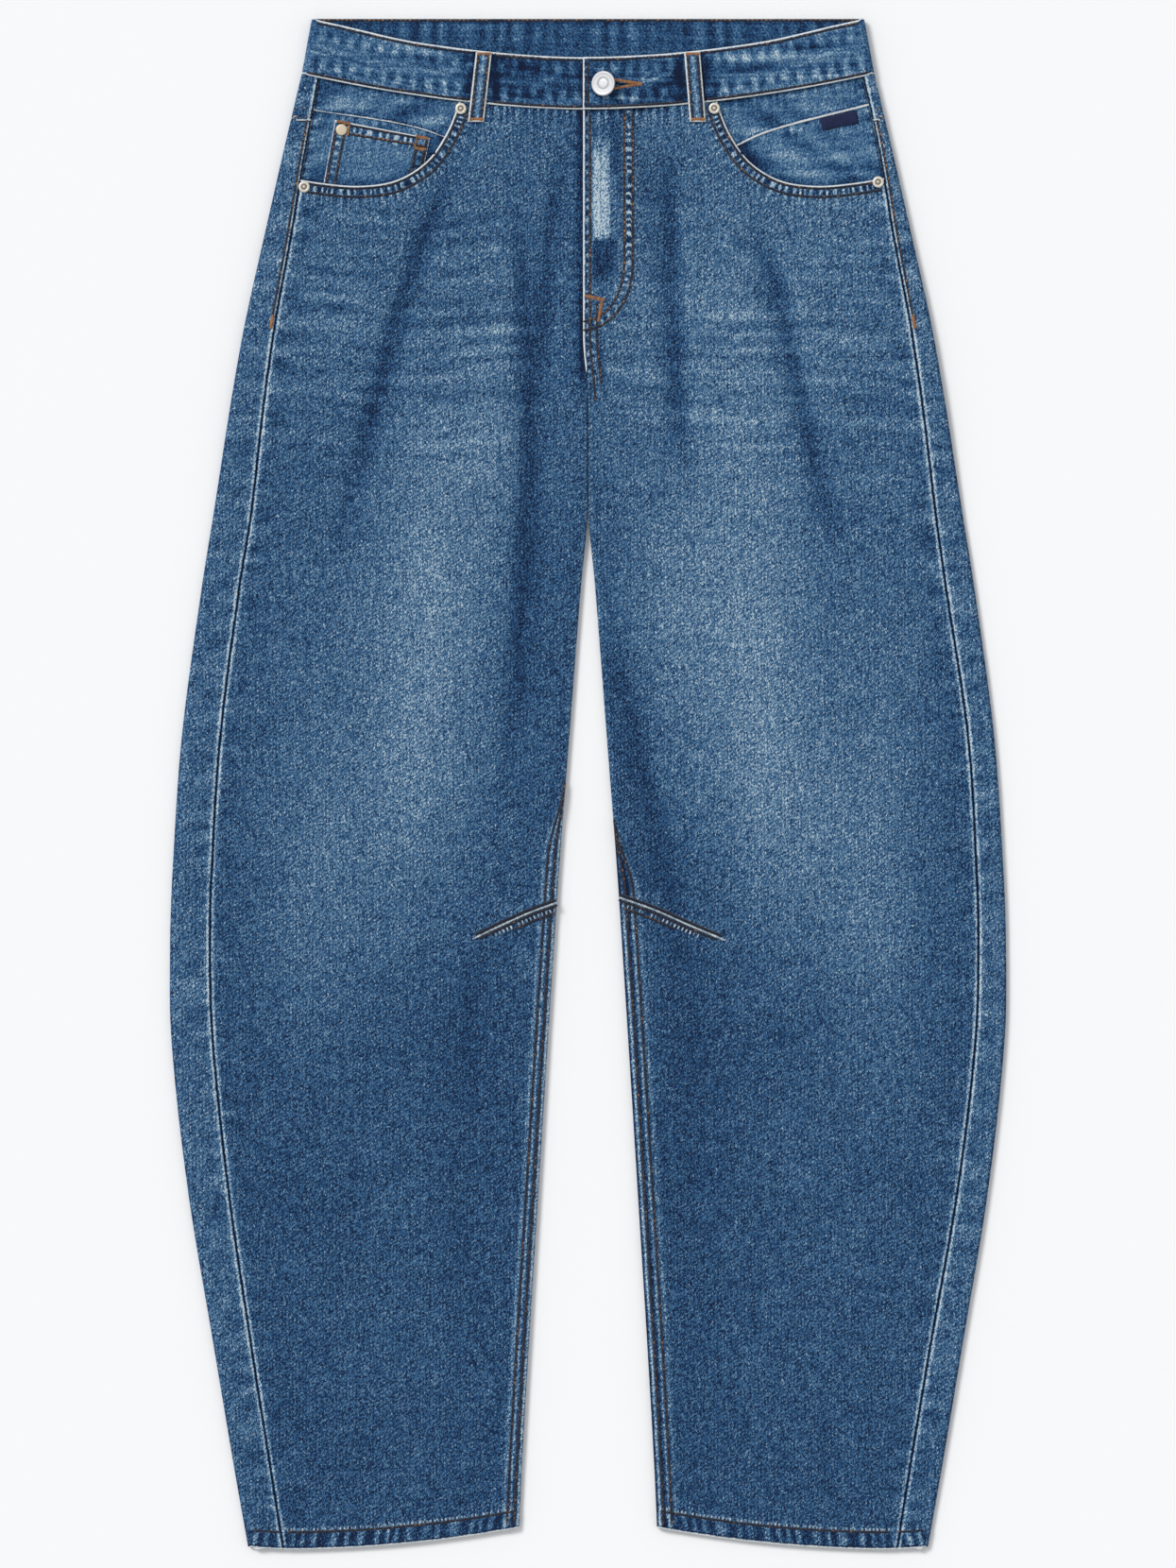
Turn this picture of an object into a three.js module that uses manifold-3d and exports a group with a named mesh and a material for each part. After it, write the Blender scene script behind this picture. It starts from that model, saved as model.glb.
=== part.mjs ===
// Barrel-leg five-pocket jeans, buttoned and laid flat on a surface with the front up.
// Millimetres. +Z is up from the surface, +Y points to the waist and +X to the wearer's left leg.
// A side of -1 is the wearer's right leg, and +1 the left. Most sizes are given for one half, as
// distances from the middle line, and are used on both.
import * as THREE from "three";
import Module from "manifold-3d";

const wasm = await Module();
wasm.setup();

// Driving sizes of the garment as it lies
const HEM_Y = -526.5;
const TOP_Y = 526.5;
const CROTCH_Y = 262;
const WAIST_Y = 488; // where the waist's width is taken
const CLOTH = 1; // one layer of denim
const SEAM_GAP = 0.3;
const FOLD_GAP = 0.62; // half the gap between front and back along the inseam
const EDGE_RADIUS = 3.4; // of the soft fold at a leg's side
const ROLL = { above: 22, over: 36 }; // the inner edge starts to roll above the crotch, over this height

// The outline of one leg. Outer, inner: distances from the middle line to the two edges.
// Right, left: how far the side seam lies inside the outer edge on that leg, because the back wraps round.
const OUTLINE = [
  { y: -526.5, outer: 233.5, inner: 48, right: 24, left: 21 },
  { y: -474.5, outer: 242.7, inner: 45.8, right: 25, left: 22 },
  { y: -383.5, outer: 258, inner: 40.6, right: 26, left: 22 },
  { y: -279.5, outer: 275.2, inner: 34.1, right: 28, left: 21 },
  { y: -175.5, outer: 286.6, inner: 27.6, right: 28.5, left: 20 },
  { y: -110.5, outer: 287.5, inner: 23.4, right: 27.5, left: 19 },
  { y: -58.5, outer: 285.7, inner: 19.9, right: 27, left: 18.5 },
  { y: 32.5, outer: 279.4, inner: 12.9, right: 26.6, left: 18 },
  { y: 136.5, outer: 265.5, inner: 4.8, right: 26, left: 19.5 },
  { y: 185, outer: 257.7, inner: 0.4, right: 26, left: 18.5 },
  { y: 260, outer: 246, inner: 0.2, right: 23, left: 16 },
  { y: 315, outer: 236.3, inner: 0.2, right: 21, left: 14.5 },
  { y: 377, outer: 222.6, inner: 0.2, right: 18.5, left: 12.5 },
  { y: 435.5, outer: 209.3, inner: 0.2, right: 15, left: 9 },
  { y: 492, outer: 196, inner: 0.2, right: 12, left: 8 },
];

// Seam lines that cross the leg, as heights over the middle line, u running from 0 there to 1 at the side
const frontWaist = (u) => 463.5 + 24.5 * u ** 1.8;
const backWaist = (u) => 488 + 2.5 * (1 - u);
const yokeSeam = (u) => 424 + 34 * u;
const hemLift = (u) => 15.5 * (1 - u) ** 2.3 + 2.5 * u ** 12 - 0.53;
const HEM_REACH = 90; // how far up the leg the hem's curve is still felt
const WAIST_REACH = 130;
const YOKE_REACH = 150;
const YOKE_MIDDLE = 440; // halfway up the yoke
const YOKE_FELL = 0.28; // the felled seam's share of the yoke

// Heights of the top layer's outside over the surface. It rises from the hem, and again to the hip.
const LOFT = { hem: 3.9, leg: 4.6, hip: 6.6, hemReach: 120, hipFrom: 165, hipReach: 110 };
// The side fold stands a little higher than the leg, up to the hip.
const SIDE_PUFF = { height: 0.5, reach: 26, upTo: 300, fade: 80 };
// The back pockets and loops carry the seat this far off the surface.
const SEAT = { lift: 1.3, from: 212, rise: 40 };
const FOLD_FADE = { top: 0.25, bottom: 0.4 }; // the shares of its length over which a soft fold comes and goes

// Soft folds of the front. Top, bottom: where it starts and ends. xTop, xMid, xBottom: its distance from
// the middle line. A negative depth is a trough.
const FOLDS = [
  { side: -1, top: 408, bottom: 140, xTop: 98, xMid: 136, xBottom: 164, width: 10, depth: -1.9 },
  { side: -1, top: 455, bottom: -60, xTop: 53, xMid: 42, xBottom: 66, width: 12, depth: -2 },
  { side: -1, top: 448, bottom: 250, xTop: 19, xMid: 28, xBottom: 33, width: 8, depth: -1.3 },
  { side: -1, top: 300, bottom: -140, xTop: 98, xMid: 112, xBottom: 118, width: 24, depth: 0.9 },
  { side: -1, top: -90, bottom: -440, xTop: 84, xMid: 80, xBottom: 70, width: 17, depth: -1.4 },
  { side: -1, top: -40, bottom: -470, xTop: 190, xMid: 196, xBottom: 176, width: 26, depth: 0.7 },
  { side: 1, top: 460, bottom: 175, xTop: 58, xMid: 58, xBottom: 74, width: 11, depth: -2.1 },
  { side: 1, top: 408, bottom: 130, xTop: 112, xMid: 146, xBottom: 178, width: 11, depth: -1.8 },
  { side: 1, top: 450, bottom: 320, xTop: 40, xMid: 43, xBottom: 46, width: 8, depth: -0.8 },
  { side: 1, top: 310, bottom: -150, xTop: 104, xMid: 118, xBottom: 142, width: 25, depth: 0.9 },
  { side: 1, top: 130, bottom: -170, xTop: 16, xMid: 44, xBottom: 80, width: 18, depth: -1.4 },
  { side: 1, top: -110, bottom: -430, xTop: 74, xMid: 70, xBottom: 68, width: 17, depth: -1.3 },
  { side: 1, top: -30, bottom: -470, xTop: 200, xMid: 204, xBottom: 180, width: 26, depth: 0.7 },
];

// The fly: its edge on the wearer's left front, the stitched J, and the piece of the right front under it
const FLY = { edge: -3.6, edgeRise: 46, top: 462.6, bottom: 311, turn: 358, stitch: 31.7, inset: 0.3, raise: 0.45 };
const FLY_LIFT = { height: 1.3, reach: 36, fade: 20, from: 298, rise: 22 };
const UNDER_FLY = { reach: 12, from: 325, rise: 20 };

// The scoop of a front pocket, from the waist seam to the side seam
const SCOOP = [
  { x: 86, y: 480 },
  { x: 91, y: 462 },
  { x: 99, y: 444 },
  { x: 112, y: 427 },
  { x: 132, y: 415 },
  { x: 156, y: 411.2 },
  { x: 182, y: 413 },
  { x: 212, y: 418 },
];
const SCOOP_HEM = { width: 9, top: 466, raise: 0.5 };
const SCOOP_CUT = { side: 240, top: 520, from: -2, to: 14 }; // the hole is cut wider and deeper than the panel
// The seam that divides a pocket's facing. It isn't quite the same on the two sides.
const FACING_SEAM = {
  right: [
    { x: 78, y: 436 },
    { x: 99, y: 444.3 },
    { x: 134, y: 453.8 },
    { x: 204, y: 463.5 },
  ],
  left: [
    { x: 78, y: 424 },
    { x: 103, y: 438.6 },
    { x: 134, y: 450.8 },
    { x: 204, y: 467.3 },
  ],
};
const FACING = { inner: 82, outer: 200, middle: 470, bottom: 398, below: 0.9, sideways: 22, down: 26 };
const FACING_FELL = { share: 0.08, from: 0.12, raise: 0.4 }; // the raised seam on the upper piece

// The coin pocket's corners on the right facing
const COIN = { topOuter: [174, 456.6], topInner: [108.6, 444], bottomOuter: [184, 401], bottomInner: [118, 401] };
const COIN_HEM = { width: 7, raise: 0.35, edge: 0.6 };

// The knee darts, from the inseam outwards
const DART = [
  { x: 22, y: -79 },
  { x: 45, y: -87 },
  { x: 70, y: -98 },
  { x: 92, y: -106 },
];
const DART_WELT = { reach: 2.6, raise: 0.7, tuck: 0.1, edge: 0.6 };

const HEM_TURN = { width: 12, raise: 0.6 };
const INSEAM_RAISE = { height: 0.5, below: -30, fade: 50 };
const CENTRE_SEAM = { above: 20, raise: 0.4 };

const BAND = { height: 36, thick: 2.4, top: 7.6, overlapTop: 10.3, underlapEnd: 22, lean: 0.036, inset: 0.4 };
const BAND_STEP = { from: 62, over: 34 }; // where the left end of the band climbs over the right one
const BAND_FLARE = { height: 2, from: 120, over: 60 }; // the band is a little deeper towards the side
const KEYHOLE = { eye: 3.3, opening: 0.35, slit: 22, width: 0.4, steps: 14, to: 12 };
const LOOP = { width: 11, length: 47, thick: 1.5, drop: 1.02, overTop: 0.5, crown: 0.5, edge: 0.15, bend: 7 };
// The front loops, which lean a little outwards. Top, bottom: distances from the middle line.
const FRONT_LOOPS = [
  { name: "front_loop_right", side: -1, top: 71.5, bottom: 77 },
  { name: "front_loop_left", side: 1, top: 71.5, bottom: 75.5 },
];
const BACK_LOOPS = { inset: 0.6, places: { right: -112, centre: 0, left: 112 } };
const RIVET = { radius: 3.9, sides: 14 };
const RIVETS = [
  { name: "rivet_right_waist", side: -1, x: 87.4, y: 464.2 },
  { name: "rivet_right_side", side: -1, x: 195.1, y: 410.4 },
  { name: "rivet_left_waist", side: 1, x: 86.8, y: 464.4 },
  { name: "rivet_left_side", side: 1, x: 199.4, y: 413.7 },
];
const COIN_RIVET = { x: 169.5, y: 449.8 };
const BUTTON = { x: 11.5, y: 480.9, radius: 8.65, stem: 2.5, tilt: 20, centre: 14.6, thick: 2.2, shift: 0.9 };
const BACK_POCKET = { middle: 104, top: 398, width: 142, height: 132, point: 22, turn: 4, thick: 1, taper: 0.9 };
const TAB = { x: 171.8, y: 460.5, width: 25, drop: 8.6, slope: 0.215, thick: 0.8 };

const COLOUR = {
  denim: 0x3f6690,
  denimDark: 0x2f5078,
  band: 0x466a90,
  metal: 0xd9d6d0,
  tab: 0x1d2745,
};

// Small helpers
const sideName = (side) => (side < 0 ? "right" : "left");
const mix = (a, b, t) => a + (b - a) * t;
const smooth = (t) => {
  const c = Math.min(1, Math.max(0, t));
  return c * c * (3 - 2 * c);
};
const range = (from, to, steps) => Array.from({ length: steps + 1 }, (_, i) => mix(from, to, i / steps));

// One column of a table at y, on a smooth curve through its rows.
function along(table, column, y) {
  const last = table.length - 1;
  const above = table.findIndex((row) => row.y > y);
  const i = above < 0 ? last - 1 : Math.max(0, above - 1);
  const slope = (k) => {
    const a = table[Math.max(0, k - 1)];
    const b = table[Math.min(last, k + 1)];
    return (b[column] - a[column]) / (b.y - a.y);
  };
  const [p, q] = [table[i], table[i + 1]];
  const step = q.y - p.y;
  const t = (y - p.y) / step;
  const [t2, t3] = [t * t, t * t * t];
  return (
    (2 * t3 - 3 * t2 + 1) * p[column] +
    (t3 - 2 * t2 + t) * step * slope(i) +
    (3 * t2 - 2 * t3) * q[column] +
    (t3 - t2) * step * slope(i + 1)
  );
}

// A smooth curve through the points of a short outline, as a list of steps + 1 points.
const curveThrough = (points, steps) =>
  new THREE.SplineCurve(points.map((p) => new THREE.Vector2(p.x, p.y))).getPoints(steps);

// The form of the garment
const outerEdge = (y) => along(OUTLINE, "outer", y);
const innerEdge = (y) => Math.max(SEAM_GAP / 2 + 0.05, along(OUTLINE, "inner", y));
const sideSeam = (side, y) => outerEdge(y) - along(OUTLINE, side < 0 ? "right" : "left", y);
const WAIST_HALF = outerEdge(WAIST_Y);
const shareAcross = (x, y) => (x - innerEdge(y)) / (outerEdge(y) - innerEdge(y));

// How far the leg's inner edge is rolled under: not at all over the crotch, and fully below it.
const rolled = (y) => smooth((CROTCH_Y + ROLL.above - y) / ROLL.over);
const underside = (y) => SEAT.lift * smooth((y - SEAT.from) / SEAT.rise);

function foldHeight(side, x, y) {
  let sum = 0;
  for (const f of FOLDS.filter((fold) => fold.side === side)) {
    const t = (f.top - y) / (f.top - f.bottom);
    const centre = f.xTop * (1 - t) * (1 - 2 * t) + f.xMid * 4 * t * (1 - t) + f.xBottom * t * (2 * t - 1);
    const length = smooth(t / FOLD_FADE.top) * smooth((1 - t) / FOLD_FADE.bottom);
    sum += f.depth * length * Math.exp(-(((x - centre) / f.width) ** 2));
  }
  return sum;
}

// Height of the front's outside at a distance x from the middle line.
function loft(side, x, y) {
  const leg = mix(LOFT.hem, LOFT.leg, smooth((y - HEM_Y) / LOFT.hemReach));
  const base = mix(leg, LOFT.hip, smooth((y - LOFT.hipFrom) / LOFT.hipReach));
  const nearSide = Math.exp(-(((outerEdge(y) - x) / SIDE_PUFF.reach) ** 2));
  const sideFold = SIDE_PUFF.height * nearSide * (1 - smooth((y - SIDE_PUFF.upTo) / SIDE_PUFF.fade));
  return base + sideFold + foldHeight(side, x, y);
}

// The left front is lifted along the fly, where it lies over the right one.
function flyLift(side, x, y) {
  if (side < 0) return 0;
  const across = smooth((FLY_LIFT.reach - x) / FLY_LIFT.fade);
  return FLY_LIFT.height * across * smooth((y - FLY_LIFT.from) / FLY_LIFT.rise);
}
const frontTop = (side, x, y) => loft(side, x, y) + flyLift(side, x, y);

// Walls from grids of points
const grid = (rows, columns, point) => rows.map((r) => columns.map((c) => point(r, c)));

function gridNormals(points, sign) {
  const [lastRow, lastColumn] = [points.length - 1, points[0].length - 1];
  return points.map((line, i) =>
    line.map((_, j) => {
      const up = points[Math.min(i + 1, lastRow)][j].clone().sub(points[Math.max(i - 1, 0)][j]);
      const across = line[Math.min(j + 1, lastColumn)].clone().sub(line[Math.max(j - 1, 0)]);
      return across.cross(up).normalize().multiplyScalar(sign);
    }),
  );
}

// A closed wall between two grids of points of the same size.
function wall(outer, inner) {
  const [rows, columns] = [outer.length, outer[0].length];
  const all = [...outer.flat(), ...inner.flat()];
  const o = (i, j) => i * columns + j;
  const n = (i, j) => rows * columns + o(i, j);
  const faces = [];
  const quad = (a, b, c, d) => faces.push(a, b, c, a, c, d);
  for (let i = 0; i + 1 < rows; i++) {
    for (let j = 0; j + 1 < columns; j++) {
      quad(o(i, j), o(i, j + 1), o(i + 1, j + 1), o(i + 1, j));
      quad(n(i, j), n(i + 1, j), n(i + 1, j + 1), n(i, j + 1));
    }
    quad(o(i, 0), o(i + 1, 0), n(i + 1, 0), n(i, 0));
    quad(o(i + 1, columns - 1), o(i, columns - 1), n(i, columns - 1), n(i + 1, columns - 1));
  }
  for (let j = 0; j + 1 < columns; j++) {
    quad(o(0, j + 1), o(0, j), n(0, j), n(0, j + 1));
    quad(o(rows - 1, j), o(rows - 1, j + 1), n(rows - 1, j + 1), n(rows - 1, j));
  }
  const volume = faces.reduce((sum, _, k) => {
    if (k % 3) return sum;
    const [a, b, c] = [all[faces[k]], all[faces[k + 1]], all[faces[k + 2]]];
    return sum + a.dot(b.clone().cross(c));
  }, 0);
  if (volume < 0) faces.reverse();
  const geometry = new THREE.BufferGeometry().setFromPoints(all);
  geometry.setIndex(faces);
  return geometry;
}

// Cloth of one thickness under a grid of points, thickened outwards where raise says so.
// Raise gets the row's and column's values and the outward normal.
function cloth(rows, columns, point, sign, { thick = CLOTH, raise = () => 0 } = {}) {
  const base = grid(rows, columns, point);
  const normal = gridNormals(base, sign);
  const moved = (i, j, by) => base[i][j].clone().addScaledVector(normal[i][j], by);
  const outer = rows.map((r, i) => columns.map((c, j) => moved(i, j, raise(r, c, normal[i][j]))));
  const inner = rows.map((_, i) => columns.map((_c, j) => moved(i, j, -thick)));
  return wall(outer, inner);
}

// A low strip on a surface, along a path, for a felled seam or a turned hem.
// Reach gives how far it spreads to each side, and top the height of the surface that it lies on.
function welt(path, side, reach, top, rise, sink = 0.5) {
  const edges = [-reach[0], -reach[0] + DART_WELT.edge, reach[1] - DART_WELT.edge, reach[1]];
  const at = path.map((p, i) => {
    const a = path[Math.max(0, i - 1)];
    const b = path[Math.min(path.length - 1, i + 1)];
    const ahead = new THREE.Vector2().subVectors(b, a).normalize();
    return edges.map((e) => new THREE.Vector2(p.x - ahead.y * e, p.y + ahead.x * e));
  });
  const lifted = (by) =>
    at.map((line) =>
      line.map((p, j) => new THREE.Vector3(side * p.x, p.y, top(p.x, p.y) + by(j === 0 || j === 3))),
    );
  return wall(
    lifted((edge) => (edge ? -DART_WELT.tuck : rise)),
    lifted(() => -sink),
  );
}

// Joining and cutting solids
function solidOf(geometry) {
  const plain = geometry.index ? geometry : weld(geometry);
  return new wasm.Manifold(
    new wasm.Mesh({
      numProp: 3,
      vertProperties: new Float32Array(plain.attributes.position.array),
      triVerts: new Uint32Array(plain.index.array),
    }),
  );
}

// Merges the corners of a geometry that three.js made with seams in it.
function weld(geometry) {
  const position = geometry.index ? geometry.toNonIndexed().attributes.position : geometry.attributes.position;
  const seen = new Map();
  const points = [];
  const index = [];
  for (let i = 0; i < position.count; i++) {
    const p = new THREE.Vector3().fromBufferAttribute(position, i);
    const key = [p.x, p.y, p.z].map((v) => Math.round(v * 1e4)).join();
    if (!seen.has(key)) {
      seen.set(key, points.length);
      points.push(p);
    }
    index.push(seen.get(key));
  }
  const faces = [];
  for (let i = 0; i < index.length; i += 3) {
    const [a, b, c] = index.slice(i, i + 3);
    if (a !== b && b !== c && a !== c) faces.push(a, b, c);
  }
  const merged = new THREE.BufferGeometry().setFromPoints(points);
  merged.setIndex(faces);
  return merged;
}

function geometryOf(solid) {
  const mesh = solid.getMesh();
  const position = new Float32Array(mesh.numVert * 3);
  for (let i = 0; i < mesh.numVert; i++) {
    position.set(mesh.vertProperties.subarray(i * mesh.numProp, i * mesh.numProp + 3), i * 3);
  }
  return new THREE.BufferGeometry()
    .setAttribute("position", new THREE.BufferAttribute(position, 3))
    .setIndex(new THREE.BufferAttribute(mesh.triVerts, 1));
}

// An outline carried up from one height to another.
function prism(outline, from, to) {
  const shape = new THREE.Shape(outline.map((p) => new THREE.Vector2(p.x, p.y)));
  const made = new THREE.ExtrudeGeometry(shape, { depth: to - from, bevelEnabled: false, steps: 1 });
  return weld(made.deleteAttribute("normal").deleteAttribute("uv").translate(0, 0, from));
}

const lathe = (profile, segments) =>
  weld(
    new THREE.LatheGeometry(
      profile.map(([r, h]) => new THREE.Vector2(r, h)),
      segments,
    )
      .deleteAttribute("normal")
      .deleteAttribute("uv")
      .rotateX(Math.PI / 2),
  );

const jeans = new THREE.Group();
jeans.name = "jeans";
function add(name, geometry, colour, roughness = 0.9, metalness = 0) {
  const material = new THREE.MeshStandardMaterial({ color: colour, roughness, metalness });
  const mesh = new THREE.Mesh(geometry, material);
  mesh.name = name;
  jeans.add(mesh);
}

// Heights up the leg at which the panels have a row of points
const LEG_ROWS = [0, 12, 12.8, 50, 100, 155, 210, 265, 320, 370, 415, 460, 505, 550, 592, 632, 670, 704, 736]
  .map((up) => HEM_Y + up)
  .concat([236, 258, 284, 304, 322, 342, 366, 392, 418, 442, frontWaist(0)]);
const FRONT_ONLY_ROWS = [258, 304, 342]; // which the back doesn't need

// Points across a front: round the rolled inner edge, over the felled inseam, and on to the side seam.
const ROLL_ANGLES = [0, 0.55, 1.1, Math.PI / 2];
const INSEAM_BAND = 10.8;
const WELT_EDGE = 0.8;
const FRONT_COLUMNS = [
  ...ROLL_ANGLES.map((angle) => ({ angle })),
  { band: INSEAM_BAND },
  { band: INSEAM_BAND + WELT_EDGE },
  ...range(0, 1, 17)
    .slice(1)
    .map((share) => ({ share })),
];

// The edge of a front at the middle: the fly's edge on the left, and the piece under the fly on the right.
function frontInner(side, y) {
  const middle = FLY.edge * smooth((y - CROTCH_Y) / FLY.edgeRise) * side;
  const underFly = side < 0 ? (UNDER_FLY.reach - FLY.edge) * smooth((y - UNDER_FLY.from) / UNDER_FLY.rise) : 0;
  return innerEdge(y) + middle - underFly;
}

function frontPoint(side, s, column) {
  const across = column.share ?? 0;
  const u = across * shareAcross(sideSeam(side, s), s);
  const hem = hemLift(u) * smooth((HEM_Y + HEM_REACH - s) / HEM_REACH);
  const waist = (frontWaist(u) - frontWaist(0)) * smooth((s - frontWaist(0) + WAIST_REACH) / WAIST_REACH);
  const y = s + hem + waist - (s >= frontWaist(0) ? SEAM_GAP : 0);
  const inner = frontInner(side, y);
  const seam = sideSeam(side, y) - SEAM_GAP / 2;
  const roll = rolled(y);
  let x = mix(inner + INSEAM_BAND + WELT_EDGE, seam, across);
  if (column.band) x = inner + column.band;
  let z = frontTop(side, x, y);
  if (column.angle !== undefined) {
    x = inner + EDGE_RADIUS * (1 - Math.cos(column.angle));
    const high = frontTop(side, x, y);
    const middle = (high + underside(y)) / 2 + FOLD_GAP;
    z = mix(high, middle + (high - middle) * Math.sin(column.angle), roll);
  }
  return new THREE.Vector3(side * x, y, z);
}

// The felled inseam is raised below the knee, and the turned hem all along.
function frontRaise(s, column) {
  const hem = s <= HEM_Y + HEM_TURN.width ? HEM_TURN.raise : 0;
  const onBand = (column.band && column.band <= INSEAM_BAND) || column.angle >= 1;
  const felled = INSEAM_RAISE.height * smooth((INSEAM_RAISE.below - s) / INSEAM_RAISE.fade);
  return Math.max(hem, onBand ? felled : 0);
}

// The pocket's hole in a front, wider at the side than the panel, and its turned and stitched edge
const scoopCurve = curveThrough(SCOOP, 26);
function scoopHole(side) {
  const outline = [
    ...scoopCurve,
    { x: SCOOP_CUT.side, y: SCOOP.at(-1).y },
    { x: SCOOP_CUT.side, y: SCOOP_CUT.top },
    { x: SCOOP[0].x, y: SCOOP_CUT.top },
  ];
  return prism(
    outline.map((p) => ({ x: side * p.x, y: p.y })),
    SCOOP_CUT.from,
    SCOOP_CUT.to,
  );
}

function front(side) {
  const panel = cloth(LEG_ROWS, FRONT_COLUMNS, (s, c) => frontPoint(side, s, c), side, { raise: frontRaise });
  const top = (x, y) => frontTop(side, x, y);
  // The turned edge stays on the panel: below the waist seam and inside the side seam.
  const hemPath = scoopCurve.filter((p) => p.y < SCOOP_HEM.top && p.x < sideSeam(side, p.y) - CLOTH);
  let solid = solidOf(panel).subtract(solidOf(scoopHole(side)));
  const dart = curveThrough(DART, 10).filter((p) => p.x > innerEdge(p.y) + EDGE_RADIUS);
  const strips = [
    welt(hemPath, side, [SCOOP_HEM.width, 0], top, SCOOP_HEM.raise),
    welt(dart, side, [DART_WELT.reach, DART_WELT.reach], top, DART_WELT.raise),
  ];
  if (side > 0) strips.push(flyPlacket());
  for (const strip of strips) solid = solid.add(solidOf(strip));
  return geometryOf(solid);
}

// The stitched placket of the fly, which ends in a J, raised on the left front.
function flyPlacket() {
  const rows = [...range(FLY.top, FLY.turn, 5), ...range(FLY.turn, FLY.bottom, 7).slice(1)];
  const shares = [0.02, 0.08, 0.5, 0.97, 1];
  const BLUNT = 0.97; // the J ends in a narrow edge, not in a point
  const point = (y, share, by) => {
    const drop = Math.max(0, (FLY.turn - y) / (FLY.turn - FLY.bottom));
    const reach = (FLY.stitch - FLY.edge) * Math.sqrt(1 - Math.min(BLUNT, drop) ** 2);
    const x = FLY.edge + FLY.inset + reach * share;
    return new THREE.Vector3(x, y, frontTop(1, x, y) + by);
  };
  const edge = (y, share) => y === rows.at(-1) || y === rows[0] || share === shares[0] || share === shares.at(-1);
  return wall(
    grid(rows, shares, (y, share) => point(y, share, edge(y, share) ? -DART_WELT.tuck : FLY.raise)),
    grid(rows, shares, (y, share) => point(y, share, -CLOTH / 2)),
  );
}

// Points round a back: its strip on the front, the outer fold, the underside and the inner edge
const OUTER_TURN = range(Math.PI / 2, -Math.PI / 2, 6);
const BACK_COLUMNS = [
  { strip: 0 },
  { strip: 0.5 },
  ...OUTER_TURN.map((turn) => ({ turn })),
  { under: 0.75 },
  { under: 0.5 },
  { under: 0.25 },
  { under: 0.055 },
  { under: 0.05 },
  ...ROLL_ANGLES.toReversed().map((angle) => ({ angle })),
];

// A point on the outside of the back, at the height y.
function backAt(side, y, column) {
  const [inner, outer] = [innerEdge(y), outerEdge(y)];
  const seam = sideSeam(side, y) + SEAM_GAP / 2;
  const low = underside(y);
  const fold = outer - EDGE_RADIUS;
  const crown = loft(side, fold, y);
  const middle = (crown + low) / 2;
  const flat = inner + EDGE_RADIUS;
  let [x, z] = [mix(flat, fold, column.under ?? 0), low];
  if (column.strip !== undefined) {
    x = mix(seam, fold, column.strip);
    z = loft(side, x, y);
  }
  if (column.turn !== undefined) {
    x = fold + EDGE_RADIUS * Math.cos(column.turn);
    z = middle + ((crown - low) / 2) * Math.sin(column.turn);
  }
  if (column.angle !== undefined) {
    x = inner + EDGE_RADIUS * (1 - Math.cos(column.angle));
    const centre = (loft(side, x, y) + low) / 2 - FOLD_GAP;
    z = mix(low, centre - (centre - low) * Math.sin(column.angle), rolled(y));
  }
  return new THREE.Vector3(side * x, y, z);
}

// Where a column of the back lies between the middle, 0, and the side, 1.
function backShare(side, s, column) {
  if (column.strip !== undefined) return mix(shareAcross(sideSeam(side, s), s), 0.985, column.strip);
  return column.turn !== undefined ? 1 : (column.under ?? 0);
}

function backPoint(side, s, column) {
  const u = backShare(side, s, column);
  const hem = hemLift(u) * smooth((HEM_Y + HEM_REACH - s) / HEM_REACH);
  const yoke = (yokeSeam(u) - yokeSeam(0)) * smooth((s - yokeSeam(0) + YOKE_REACH) / YOKE_REACH);
  return backAt(side, s + hem + yoke, column);
}

const BACK_ROWS = LEG_ROWS.filter((s) => s < BACK_POCKET.top && !FRONT_ONLY_ROWS.includes(s)).concat([yokeSeam(0)]);
function back(side) {
  const raise = (s, column, normal) => {
    const hem = s <= HEM_Y + HEM_TURN.width ? HEM_TURN.raise * Math.max(0, normal.z) : 0;
    const atCentre = column.under <= 0.05 || column.angle >= 1;
    const felled = side < 0 && s > CROTCH_Y + CENTRE_SEAM.above && atCentre;
    return hem + (felled ? CENTRE_SEAM.raise : 0);
  };
  return cloth(BACK_ROWS, BACK_COLUMNS, (s, c) => backPoint(side, s, c), side, { raise });
}

// The yoke lies between the back and the waistband, and wraps to the front as the back does.
function yoke(side) {
  const rows = [0, YOKE_FELL, YOKE_FELL + 0.03, 1];
  const onTop = (column) => column.strip !== undefined || column.turn > 0;
  const point = (t, column) => {
    const u = backShare(side, YOKE_MIDDLE, column);
    const waist = onTop(column) ? frontWaist(u) : backWaist(u);
    return backAt(side, mix(yokeSeam(u) + SEAM_GAP, waist - SEAM_GAP, t), column);
  };
  return cloth(rows, BACK_COLUMNS, point, side, { raise: (t) => (t <= YOKE_FELL ? CLOTH / 2 : 0) });
}

// The pocket's facing, which shows inside the scoop. It lies under the front.
const facingSeamAt = (side, x) => {
  const points = curveThrough(FACING_SEAM[sideName(side)], 24);
  const i = Math.max(1, points.findIndex((p) => p.x >= x));
  const [a, b] = [points[i - 1], points[i]];
  return mix(a.y, b.y, (x - a.x) / (b.x - a.x));
};

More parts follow.
